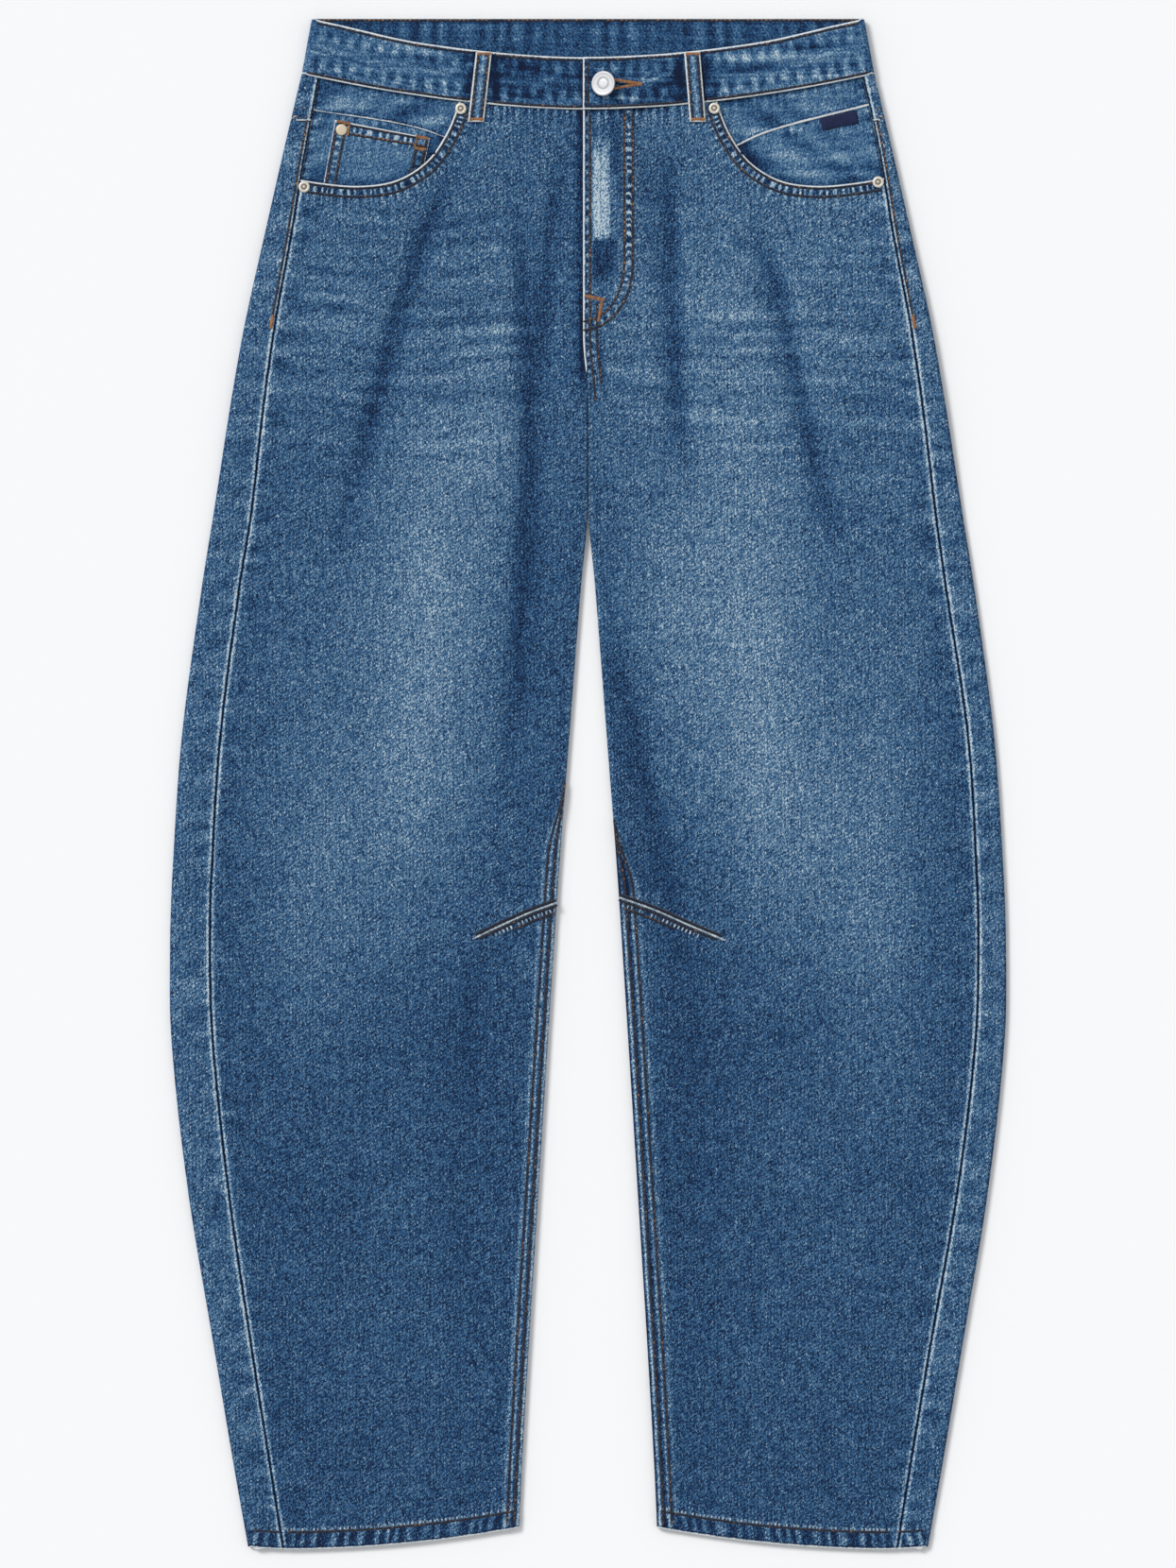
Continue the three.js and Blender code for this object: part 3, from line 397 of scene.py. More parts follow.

# %% [markdown]
# ## The wash
# Stone-washed denim is light where it was rubbed and keeps its indigo where nothing rubbed it. The places
# are worked out as one number for each point, the tone: 0 is deep indigo, 0.5 the body of the cloth and
# 1 almost white. The thighs and the fly are rubbed, whiskers cross the hips, and valleys are darker,
# partly as indigo kept in the folds and partly as painted shade that follows their depth.

# %% Wash
FADE_FIELDS = ("side", "x", "y", "wide", "tall", "lean", "amount")
FADES = named_rows(FADE_FIELDS, [
    (-1, 94, 192, 74, 84, 0.22, 0.12),
    (-1, 118, 62, 76, 100, 0.12, 0.15),
    (-1, 112, 80, 40, 90, 0.12, 0.05),
    (-1, 142, -62, 76, 82, 0.1, 0.12),
    (-1, 128, 330, 90, 100, 0.0, 0.04),
    (-1, 64, 250, 22, 62, 0.0, 0.07),
    (-1, 74, -260, 34, 240, -0.08, -0.05),
    (-1, 41, 344, 30, 60, 0.0, 0.03),
    (-1, 190, 280, 30, 60, 0.0, 0.025),
    (-1, 206, 20, 34, 260, -0.1, 0.06),
    (-1, 34, 120, 18, 190, 0.05, -0.03),
    (-1, 200, -440, 50, 100, 0.0, -0.02),
    (-1, 190, -250, 50, 90, 0.0, -0.05),
    (1, 112, 190, 84, 105, 0.1, 0.09),
    (1, 122, 55, 84, 110, 0.15, 0.14),
    (1, 126, 70, 40, 95, 0.14, 0.04),
    (1, 150, -62, 76, 82, 0.2, 0.11),
    (1, 60, 110, 40, 130, 0.1, 0.10),
    (1, 128, 320, 96, 110, 0.0, 0.10),
    (1, 44, 345, 26, 80, 0.0, 0.055),
    (1, 206, 20, 34, 260, -0.1, 0.08),
    (1, 72, -240, 30, 240, -0.02, -0.06),
    (1, 18, 440, 4.5, 26, 0.0, -0.22),
    (1, 19.5, 400, 3.5, 22, 0.0, -0.14),
])
WHISKER_FIELDS = ("side", "x", "y", "wide", "tall", "pitch", "slope", "amount")
WHISKERS = named_rows(WHISKER_FIELDS, [
    (-1, 158, 318, 46, 80, 14.0, -0.10, 0.10),
    (-1, 78, 312, 38, 86, 14.5, 0.06, 0.105),
    (1, 110, 272, 54, 78, 13.5, 0.05, 0.09),
    (1, 40, 262, 24, 60, 13.0, 0.10, 0.07),
    (1, 184, 285, 34, 76, 15.0, 0.16, 0.08),
])


def fades(side, x, y):
    """Soft elliptical patches, lighter or darker than the cloth, each leaning by a share of its height."""
    total = np.zeros(np.shape(x))
    for f in (fade for fade in FADES if fade["side"] == side):
        centre = f["x"] - f["lean"] * (y - f["y"])
        away = -np.abs((x - centre) / f["wide"]) ** 2.4 - np.abs((y - f["y"]) / f["tall"]) ** 2.6
        total += f["amount"] * np.exp(away)
    return total


def whiskers(side, x, y):
    """Fans of light and dark lines across the hip."""
    total = np.zeros(np.shape(x))
    for k, w in enumerate(WHISKERS):
        if w["side"] != side:
            continue
        window = np.exp(-np.abs((x - w["x"]) / w["wide"]) ** 3 - np.abs((y - w["y"]) / w["tall"]) ** 4)
        height = y + w["slope"] * (x - w["x"]) + 2.5 * np.sin(x / 17 + k)
        total += w["amount"] * window * ripple(height, w["pitch"], 1.7 + k)
    return total


def fold_tone(side, x, y):
    """The bottom of a deep fold keeps its indigo in a narrow line, and the ridge beside it is rubbed."""
    deep = [fold for fold in FOLDS if fold["side"] == side and fold["depth"] < -1]
    wander = 1.5 * np.sin(y / 31.0) + 0.8 * np.sin(y / 11.0 + 1.0)
    core = sum(fold_shape(fold, x + wander, y, 5.0) for fold in deep)
    ridge = sum(fold_shape(fold, x + wander, y, 6.5, 10.5) for fold in deep)
    return 0.05 * ridge - 0.10 * core


def body_tone(side, x, y):
    """The tone of a panel's cloth, before its seams: the base, the fades, the whiskers and the folds."""
    base = 0.335 + 0.085 * smooth((y - 120) / 240) - 0.02 * smooth((-380 - y) / 120)
    # Tone follows the depth of the folds and creases, darker in valleys and lighter on ridges: partly wash,
    # partly painted shade.
    fold_wash_and_shade = (0.09 * fold_height(side, x, y) + fold_tone(side, x, y)) * smooth((y + 300) / 300)
    return base + fades(side, x, y) + whiskers(side, x, y) + fold_wash_and_shade + 0.05 * crease_height(side, x, y)


print("fades:", len(FADES), "whisker fans:", len(WHISKERS))

# %% [markdown]
# ## Making a mesh
# A piece of cloth is a grid of points for its outside, the same grid pushed in by the cloth's thickness,
# and a narrow wall where the edges of the two grids meet. The wall is found from the faces themselves: an
# edge that only one face uses is a border. Each point also carries the numbers that its shader reads: the
# tone, how near a rubbed edge is, and where the puckers of a seam stand.


# %% Mesh helpers
def grid_quads(index):
    """The quads of a grid of vertex numbers, counter-clockwise when columns run along X and rows along Y."""
    return np.stack([index[:-1, :-1], index[:-1, 1:], index[1:, 1:], index[1:, :-1]], axis=-1).reshape(-1, 4)


def vertex_normals(points, quads):
    """Unit normals: each face's own normal, added up at its corners."""
    corners = points[quads]
    face = np.cross(corners[:, 2] - corners[:, 0], corners[:, 3] - corners[:, 1])
    total = np.zeros_like(points)
    for k in range(4):
        np.add.at(total, quads[:, k], face)
    return total / np.maximum(np.linalg.norm(total, axis=1), 1e-9)[:, None]


def border_of(quads):
    """Directed edges that belong to one quad only."""
    edges = np.concatenate([quads[:, [k, (k + 1) % 4]] for k in range(4)])
    count = int(quads.max()) + 1
    forward, backward = edges[:, 0] * count + edges[:, 1], edges[:, 1] * count + edges[:, 0]
    return edges[~np.isin(forward, backward)]


def outward(quads, side):
    """The quads of a grid, turned over where it was mirrored, so that they still face out."""
    return quads if side > 0 else quads[:, ::-1]


def leg_grid(side, x, y, z):
    """The outside of a piece on one leg from three grids: its points and its quads."""
    points = np.stack([side * x, y, z], axis=-1).reshape(-1, 3)
    return points, outward(grid_quads(np.arange(len(points)).reshape(x.shape)), side)


def make_piece(name, points, quads, values=None, material=None, caps=()):
    """A mesh object from points in millimetres, quads, and caps of any number of corners."""
    mesh = bpy.data.meshes.new(name)
    loops = np.concatenate([quads.ravel(), *[np.asarray(cap) for cap in caps]]).astype(np.int32)
    sizes = np.concatenate([np.full(len(quads), 4), [len(cap) for cap in caps]]).astype(np.int32)
    mesh.vertices.add(len(points))
    mesh.vertices.foreach_set("co", (np.asarray(points) * MM).astype(np.float32).ravel())
    mesh.loops.add(len(loops))
    mesh.loops.foreach_set("vertex_index", loops)
    mesh.polygons.add(len(sizes))
    mesh.polygons.foreach_set("loop_start", np.concatenate([[0], np.cumsum(sizes)[:-1]]).astype(np.int32))
    mesh.update(calc_edges=True)
    mesh.polygons.foreach_set("use_smooth", np.ones(len(sizes), bool))
    for key, value in (values or {}).items():
        layer = mesh.attributes.new(key, "FLOAT", "POINT")
        layer.data.foreach_set("value", np.asarray(value, np.float32).ravel())
    mesh.validate()
    piece = bpy.data.objects.new(name, mesh)
    scene.collection.objects.link(piece)
    if material:
        mesh.materials.append(material)
    print(f"{name}: {2 * len(quads)} triangles")
    return piece


def shell(points, quads, values, thick=CLOTH, inside=None):
    """The closed wall behind an outside: points, quads and values for the outside, the inside and the rim."""
    inner = points - vertex_normals(points, quads) * thick
    count = len(points)
    edge = border_of(quads)
    rim = np.stack([edge[:, 1], edge[:, 0], edge[:, 0] + count, edge[:, 1] + count], axis=1)
    behind = inside or values
    both = {key: np.concatenate([np.ravel(v), np.ravel(behind[key])]) for key, v in values.items()}
    return np.vstack([points, inner]), np.vstack([quads, quads[:, ::-1] + count, rim]), both


def surface_area(points, quads):
    """Area of the outside, in square metres."""
    corners = points[quads] * MM
    twice = np.cross(corners[:, 2] - corners[:, 0], corners[:, 3] - corners[:, 1])
    return float(np.linalg.norm(twice, axis=1).sum() / 2)


SIDE_NAMES = {-1: "right", 1: "left"}
TURNINGS, LEAST_CUT = 8.0, 0.33
cloth_cuts = {}


def lay(piece, nodes, size, area):
    """Seats a cloth piece: it rides on the garment, stands for its solids and states its cut."""
    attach(piece, "root")
    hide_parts(*nodes)
    wide, long = ((s + 2 * TURNINGS) * MM for s in size)
    cut = float(np.clip(area, LEAST_CUT * wide * long, wide * long))
    cloth_cuts[piece.name] = (round(wide, 3), round(long, 3), round(cut, 4))


def make_cloth(node, points, quads, values, size, material, thick=CLOTH, inside=None):
    """The shell behind the outside of a cut piece, laid on the solid of that name and given its finish."""
    piece = make_piece(f"{node}_cloth", *shell(points, quads, values, thick, inside), material=material)
    lay(piece, [node], size, surface_area(points, quads))


# %% [markdown]
# ## Shader maths
# A pattern is a sum of noises and masks, and it reads best as a sum. The class below wraps the output of
# a node, and Python's own + - * / on it add the Math nodes. A dictionary sets a node's own options first.


# %% Node expressions
class Field:
    """A number or colour that changes over a surface, as the output of a node."""

    def __init__(self, graph, socket):
        self.graph, self.socket = graph, socket

    def _math(self, operation, *values):
        return self.graph.node("ShaderNodeMath", {"operation": operation}, values)

    def __add__(self, other):
        return self._math("ADD", self, other)

    def __sub__(self, other):
        return self._math("SUBTRACT", self, other)

    def __rsub__(self, other):
        return self._math("SUBTRACT", other, self)

    def __mul__(self, other):
        return self._math("MULTIPLY", self, other)

    def __truediv__(self, other):
        return self._math("DIVIDE", self, other)

    __radd__, __rmul__ = __add__, __mul__

    def sine(self):
        return self._math("SINE", self)

    def step(self, start, end):
        """0 below start and 1 above end, with a soft rise between."""
        options = {"interpolation_type": "SMOOTHSTEP", "clamp": True}
        return self.graph.node("ShaderNodeMapRange", options, {0: self, 1: start, 2: end})


class Graph:
    """The nodes of one material, round a Principled shader."""

    def __init__(self, name, **constants):
        self.material = bpy.data.materials.new(name)
        self.material.use_nodes = True
        self.tree = self.material.node_tree
        self.shader = self.tree.nodes["Principled BSDF"]
        for key, value in constants.items():
            self.shader.inputs[key.replace("_", " ")].default_value = value

    def node(self, kind, options=None, inputs=(), output=0):
        """Adds a node: its options first, then the values or links of its sockets; returns one output."""
        made = self.tree.nodes.new(kind)
        for key, value in (options or {}).items():
            if key == "stops":
                ramp = made.color_ramp.elements
                while len(ramp) < len(value):
                    ramp.new(1.0)
                for element, (position, colour) in zip(ramp, value):
                    element.position, element.color = position, colour
            else:
                setattr(made, key, value)
        for key, value in inputs.items() if isinstance(inputs, dict) else enumerate(inputs):
            if isinstance(value, Field):
                self.tree.links.new(value.socket, made.inputs[key])
            else:
                made.inputs[key].default_value = value
        return Field(self, made.outputs[output])

    def noise(self, vector, scale, detail=2.0, roughness=0.5):
        """Soft noise round 0, from about -1 to 1."""
        sockets = {"Vector": vector, "Scale": scale, "Detail": detail, "Roughness": roughness}
        return (self.node("ShaderNodeTexNoise", {}, sockets) - 0.5) * 2.0

    def cells(self, vector):
        """A random number round 0 for each of many small uneven cells: salt and pepper."""
        sockets = {"Vector": vector, "Scale": 1.0}
        return (self.node("ShaderNodeTexVoronoi", {}, sockets, output=1) - 0.5) * 2.0

    def mapped(self, vector, scale, turn=0.0):
        """The place, turned about Z and then stretched: a large scale makes a pattern narrow that way."""
        sockets = {"Vector": vector, "Scale": scale, "Rotation": (0.0, 0.0, turn)}
        return self.node("ShaderNodeMapping", {"vector_type": "POINT"}, sockets)

    def own(self, name):
        """A number that the mesh itself carries."""
        return self.node("ShaderNodeAttribute", {"attribute_name": name}, output=2)

    def feed(self, **links):
        """Links fields to the shader's sockets and gives the finished material."""
        for key, field in links.items():
            self.tree.links.new(field.socket, self.shader.inputs[key.replace("_", " ")])
        return self.material


def rgb(red, green, blue):
    """A colour as the eye reads it, 0 to 255, turned into the linear values that light works with."""
    parts = (red, green, blue)
    return tuple(((c / 255 + 0.055) / 1.055) ** 2.4 if c > 10 else c / 3295 for c in parts) + (1.0,)


# %% [markdown]
# ## Denim
# Denim is a twill: blue warp threads over white weft, in fine diagonal lines. Seen from a step away it is
# salt and pepper with upright streaks, because the warp yarn is uneven. Crossing waves and small flecks
# make that grain, noises stretched along the warp and the weft make the slubs, and a cloud makes the wash.
# Their sum with the mesh's own tone goes through one ramp from indigo to white, so a lighter place is also
# a greyer one, as in life.

# %% Denim material
DENIM_STOPS = (
    (0.0, rgb(16, 28, 54)),
    (0.16, rgb(21, 47, 82)),
    (0.32, rgb(33, 70, 111)),
    (0.5, rgb(56, 98, 137)),
    (0.68, rgb(89, 124, 154)),
    (0.86, rgb(131, 159, 180)),
    (1.0, rgb(190, 206, 214)),
)
WORN_COLOUR = rgb(224, 228, 228)
RIM_REACH = 6.0
WARP_PITCH, TWILL_PITCH = 0.0023, 0.0028


def denim(name, turn=0.0, contrast=1.0):
    """Washed denim whose warp is turned by an angle from Y.

    The mesh gives the tone, how near a rubbed edge is (rim: a rubbed white line with a painted shade line
    just inside it), how creased the cloth is (whisk), how strong the puckers of a seam are (puck) and where
    they stand (phase).
    """
    g = Graph(name, Roughness=0.9, Specular_IOR_Level=0.12, Sheen_Weight=0.04, Sheen_Roughness=0.5)
    place = g.node("ShaderNodeTexCoord", output=3)
    lie = g.mapped(place, (1.0, 1.0, 1.0), turn)
    warp = g.node("ShaderNodeSeparateXYZ", {}, [lie])
    rise = g.node("ShaderNodeSeparateXYZ", {}, [lie], output=1)
    stray = g.noise(g.mapped(place, (300.0, 240.0, 100.0), turn), 1.0, 2.0, 0.6)
    drift = g.noise(g.mapped(place, (210.0, 330.0, 100.0), turn), 1.0, 2.0, 0.6)
    floats = (warp * (2 * math.pi / WARP_PITCH) + stray * 5.0).sine()
    grain = floats * ((rise + warp * 0.6) * (2 * math.pi / TWILL_PITCH) + drift * 5.0).sine()
    fleck = g.cells(g.mapped(place, (1480.0, 1120.0, 10.0), turn))
    slub = g.noise(g.mapped(place, (640.0, 110.0, 100.0), turn), 1.0, 1.0, 0.6)
    weft = g.noise(g.mapped(place, (130.0, 700.0, 100.0), turn), 1.0, 1.0, 0.5)
    cloud = g.noise(place, 26.0, 3.0, 0.6)
    crumple = g.noise(place, 110.0, 2.0, 0.6)
    whisker = g.noise(g.mapped(place, (8.0, 135.0, 9.0)), 1.0, 2.0, 0.5)
    wave = (g.own("phase") + crumple * 1.6).sine()
    bar = wave.step(-0.1, 0.95) * g.own("puck")
    gap = (wave * -1.0).step(-0.4, 0.9) * g.own("puck")
    cloth = (grain * 0.20 + floats * 0.06 + fleck * 0.46 + slub * 0.15 + weft * 0.05) * contrast
    tone = g.own("tone") + cloth + cloud * 0.04 + crumple * 0.04 + whisker * g.own("whisk")
    tone = tone + bar * 0.55 - gap * 0.36
    distance = (1.0 - g.own("rim")) * RIM_REACH + fleck * 0.4 + grain * 0.15 + crumple * 0.4
    # Painted shade: a dark line just inside the rubbed white rim of each folded edge.
    shade = distance.step(1.1, 1.6) * (1.0 - distance.step(1.9, 3.0))
    tone = tone - shade * 0.27
    colour = g.node("ShaderNodeValToRGB", {"stops": DENIM_STOPS}, [tone])
    worn = (1.0 - distance.step(0.65, 1.4)) * 0.95
    colour = g.node("ShaderNodeMix", {"data_type": "RGBA"}, {0: worn, 6: colour, 7: WORN_COLOUR}, output=2)
    relief = grain * 0.3 + slub * 0.5 + (bar - gap) * 1.1 + crumple * 0.5 + whisker * g.own("whisk") * 3.0
    bump = g.node("ShaderNodeBump", {}, {"Strength": 0.5, "Distance": 0.0004, "Height": relief})
    return g.feed(Base_Color=colour, Normal=bump)


denim_panel = denim("denim_panel")
denim_band = denim("denim_band", math.pi / 2, 0.72)
denim_slant = denim("denim_slant", math.radians(12), 0.72)
print("denim:", len(denim_panel.node_tree.nodes), "nodes")

# %% [markdown]
# ## The fronts
# Each front is cut away by the scoop of its pocket, which turns from steep to level. A plain grid would
# run along that edge at one end and across it at the other, so the piece is drawn as an L of two grids:
# columns from the hem that end on the level half of the scoop, and a block beside the fly that ends on
# the steep half. Rows and columns crowd together near each sewn edge, where the detail is.

# %% Spacing
EDGE_STEPS = np.array([0.0, 0.35, 0.8, 1.4, 2.1, 3.0, 4.1, 5.3, 6.5, 7.6, 8.7, 9.8, 11.2])
HEM_STEPS = np.concatenate([EDGE_STEPS, [12.4, 14.0, 16.0]])
SPLIT = np.array([104.8, 435.4])
FLY_LINE_Y = 396.0


def spread(lead, pitch, length, tail):
    """Places across a width: fixed distances at both ends and even steps between.

    Returns three arrays a, f, b: a place is a + f * (width - lead's length - tail's length) + b.
    """
    count = max(2, round((length - lead[-1] - tail[-1]) / pitch))
    f = np.linspace(0, 1, count + 1)
    a = np.concatenate([lead[:-1], np.full(count + 1, lead[-1]), np.full(len(tail) - 1, lead[-1])])
    b = np.concatenate([np.zeros(len(lead) + count), tail[-1] - tail[::-1][1:]])
    f = np.concatenate([np.zeros(len(lead) - 1), f, np.ones(len(tail) - 1)])
    return a, f, b


def place_at(steps, width):
    a, f, b = steps
    return a + f * (width - a.max() - b.max()) + b


def place_at_column(steps, column, width):
    a, f, b = steps
    k = np.clip(column, 0, len(a) - 1)
    return a[k] + f[k] * (width - a.max() - b.max()) + b[k]


def front_inner(side, y):
    """The front's edge at the middle: on the fly, or under it, or along the inseam."""
    middle = FLY_EDGE * smooth((y - CROTCH_Y) / 46) * side
    under_fly = (FLY_UNDERLAP - FLY_EDGE) * smooth((y - 325) / 20) if side < 0 else 0.0
    return inner_edge(y) + middle - under_fly


ROLL = np.linspace(0, math.pi / 2, 7)
INSEAM_STEPS = np.concatenate(
    [EDGE_RADIUS * (1 - np.cos(ROLL)), [4.4, 5.4, 6.4, 7.4, 8.4, 9.4, 10.4, 11.4, 12.4, 13.4, 14.6]]
)
FROM_SCOOP = np.searchsorted(SCOOP[:, 0], SPLIT[0])
# The felled inseam under the crotch: where it starts, and places across it counted from the inner edge.
INSEAM = {-1: {"start": 2, "rubbed": 1.2, "rows": (3.5, 8.4), "light": 6.3, "end": 10.8},
          1: {"start": -24, "rubbed": 2.5, "rows": (4.6, 10.3), "light": 8.4, "end": 13.2}}


def scoop_height(x):
    """The level half of the scoop as a height over x."""
    return np.interp(x, SCOOP[FROM_SCOOP:, 0], SCOOP[FROM_SCOOP:, 1])


def scoop_reach(y):
    """The steep half of the scoop as a distance from the middle over y."""
    steep = SCOOP[: FROM_SCOOP + 1][::-1]
    return np.interp(y, steep[:, 1], steep[:, 0])


def front_grid(side):
    """Points x, y of a front, as two grids that share a row, and their vertex numbers."""
    left = spread(INSEAM_STEPS, 2.3, SPLIT[0], EDGE_STEPS)
    right = spread(np.array([0.0, 0.01]), 1.75, 96.0, EDGE_STEPS[:9])
    limit = SPLIT[0] - front_inner(side, SPLIT[1])
    share = limit / (side_seam(side, SPLIT[1]) - front_inner(side, SPLIT[1]))

    def across(y):
        inner = front_inner(side, y)
        width = side_seam(side, y) - SEAM_GAP / 2 - inner
        return inner, width * share, width * (1 - share)

    def at(column, y):
        inner, w_left, w_right = across(y)
        xl = inner + place_at_column(left, column, w_left)
        xr = inner + w_left + place_at_column(right, column - len(left[0]) + 1, w_right)
        return np.where(column < len(left[0]), xl, xr)

    columns = np.arange(len(left[0]) + len(right[0]) - 1)
    top = np.full(len(columns), SPLIT[1])
    for _ in range(4):
        x_top = at(columns, top)
        line = mix(FLY_LINE_Y, SPLIT[1], np.clip(x_top / SPLIT[0], 0, 1))
        top = np.where(columns < len(left[0]), line, scoop_height(x_top))
    rows = spread(HEM_STEPS, 3.3, 925.0, EDGE_STEPS)
    lift = hem_lift(share_across(at(columns, np.full(len(columns), HEM_Y + 5.0)), HEM_Y + 5.0))
    bottom = HEM_Y + lift
    a, f, b = (part[:, None] for part in rows)
    y_low = bottom + a + f * (top - bottom - rows[0].max() - rows[2].max()) + b
    x_low = at(np.broadcast_to(columns, y_low.shape), y_low)

    upper = spread(np.array([0.0, 0.01]), 1.7, 62.0, EDGE_STEPS[:8])
    t = place_at(upper, 62.0)[1:, None] / 62.0
    corner_y = float(SCOOP[np.argmin(np.abs(SCOOP[:, 1] - front_waist(SCOOP[:, 0]))), 1])
    for _ in range(4):
        corner_y = float(front_waist(scoop_reach(corner_y)))
    corner_y -= SEAM_GAP
    first = columns[: len(left[0])]
    s = ((x_low[-1, first] - x_low[-1, 0]) / (x_low[-1, first[-1]] - x_low[-1, 0]))[None, :]
    waist_mid = front_waist(0.0) - SEAM_GAP
    y_right = mix(SPLIT[1], corner_y, t)
    inner = front_inner(side, mix(FLY_LINE_Y, waist_mid, t))
    reach = scoop_reach(y_right) - inner
    a, f, b = (part[None, :] for part in left)
    x_high = inner + a + f * (reach - left[0].max() - left[2].max()) + b
    y_flat = mix(mix(FLY_LINE_Y, waist_mid, t), y_right, s)
    chord = mix(waist_mid, corner_y, s)
    y_high = y_flat + t * (front_waist(np.maximum(x_high, 0)) - SEAM_GAP - chord)

    low = np.arange(y_low.size).reshape(y_low.shape)
    high = np.vstack([low[-1, : len(first)], y_low.size + np.arange(y_high.size).reshape(y_high.shape)])
    quads = np.vstack([grid_quads(low), grid_quads(high)])
    numbers = ((columns, y_low), (first, y_high))
    column_of = np.concatenate([np.broadcast_to(column, grid.shape).ravel() for column, grid in numbers])
    x = np.concatenate([x_low.ravel(), x_high.ravel()])
    y = np.concatenate([y_low.ravel(), y_high.ravel()])
    return x, y, quads, column_of


print("columns over the inseam:", len(INSEAM_STEPS))

# %% [markdown]
# ## Puckers, ridges and worn edges of a front
# When denim shrinks, the thread doesn't, so the cloth between two rows of stitching stands up in small
# bars that rub white. Every seam of a front adds its own bars to the height and to the tone, and every
# folded edge is rounded down and rubbed. The numbers below are distances from each seam.

# %% Detail of seams
BAR, SIDE_PUCKER = 4.6, 24.0


class Detail:
    """What the seams add to a piece: height, tone, rubbed rims, and puckers as an amount and a phase."""

    def __init__(self, x):
        self.height, self.tone, self.rim = (np.zeros(np.shape(x)) for _ in range(3))
        self.puck, self.phase, self.whisk = (np.zeros(np.shape(x)) for _ in range(3))

    def edge(self, distance, drop=0.7, soft=0.6, where=1.0):
        """A folded edge: rounded down, and rubbed white along its rim."""
        away = np.maximum(distance, 0)
        self.height -= where * drop * np.exp(-away / soft)
        self.rim = np.maximum(self.rim, where * np.clip(1 - away / RIM_REACH, 0, 1))

    def seam_line(self, distance, run, seed):
        """A pressed-open seam: a thin dark gap with a soft rubbed ridge beside it."""
        away = np.maximum(distance, 0)
        rubbed = 0.50 + 0.14 * np.sin(run / 19.0 + seed) * np.sin(run / 43.0 + 2 * seed)
        self.height -= 0.75 * np.exp(-away / 0.8)
        # Painted shade: the dark line at the seam's gap; the light ridge beside it is rubbed.
        self.tone += rubbed * bell(away - 1.6, 0.85) + 0.12 * np.exp(-away / 4.0) - 1.1 * bell(away, 0.62)

    def bars(self, amount, run, pitch, seed, relief=0.22):
        """Puckers across a seam; where two seams meet, the stronger ones win."""
        beat = run / pitch
        amount = amount * (0.75 + 0.25 * np.sin(0.9 * beat + seed) * np.sin(0.37 * beat + 2 * seed))
        phase = 2 * math.pi * run / pitch
        phase = phase + 1.2 * np.sin(beat * 1.9 + seed) + 1.5 * np.sin(beat * 0.8 + 2.3 * seed)
        self.height += relief * amount * np.sin(phase)
        win = amount > self.puck
        self.puck, self.phase = np.where(win, amount, self.puck), np.where(win, phase, self.phase)

    def hem(self, up, run):
        """A turned hem: raised, roped into upright bars, and rubbed along its edge and above its stitches."""
        band = smooth((12.6 - up) / 0.8)
        self.height += band * 0.6
        self.tone += 0.20 * bell(up - 13.4, 0.9) - 0.06 * band * smooth((up - 1.5) / 2)
        self.bars(0.62 * band * smooth((up - 0.8) / 1.6), run + 0.2 * up, 9.2, 3.0)
        self.bars(0.5 * np.exp(-np.abs(up - 13.8) / 1.8) * (1 - band), run, 4.6, 5.0)
        self.edge(up, 0.8, 0.7)

    def values(self, tone):
        """The numbers that the mesh carries, with the seams' tone added to the cloth's own."""
        return {"tone": tone + self.tone, "rim": self.rim, "puck": self.puck, "phase": self.phase,
                "whisk": self.whisk}


# The creased part of each hip: its height on the leg, and bells across it (place, width, amount).
HIP_CREASES = {
    -1: (312, ((150, 50, 1.0), (75, 34, 1.0))),
    1: (275, ((110, 62, 1.0), (185, 34, 0.8), (40, 24, 0.7))),
}


def whisker_mask(side, x, y):
    """Where the hips are creased from sitting."""
    middle, bells = HIP_CREASES[side]
    across = sum(amount * bell(x - place, wide) for place, wide, amount in bells)
    return 0.6 * np.minimum(across, 1) * np.exp(-np.abs((y - middle) / 95) ** 3)


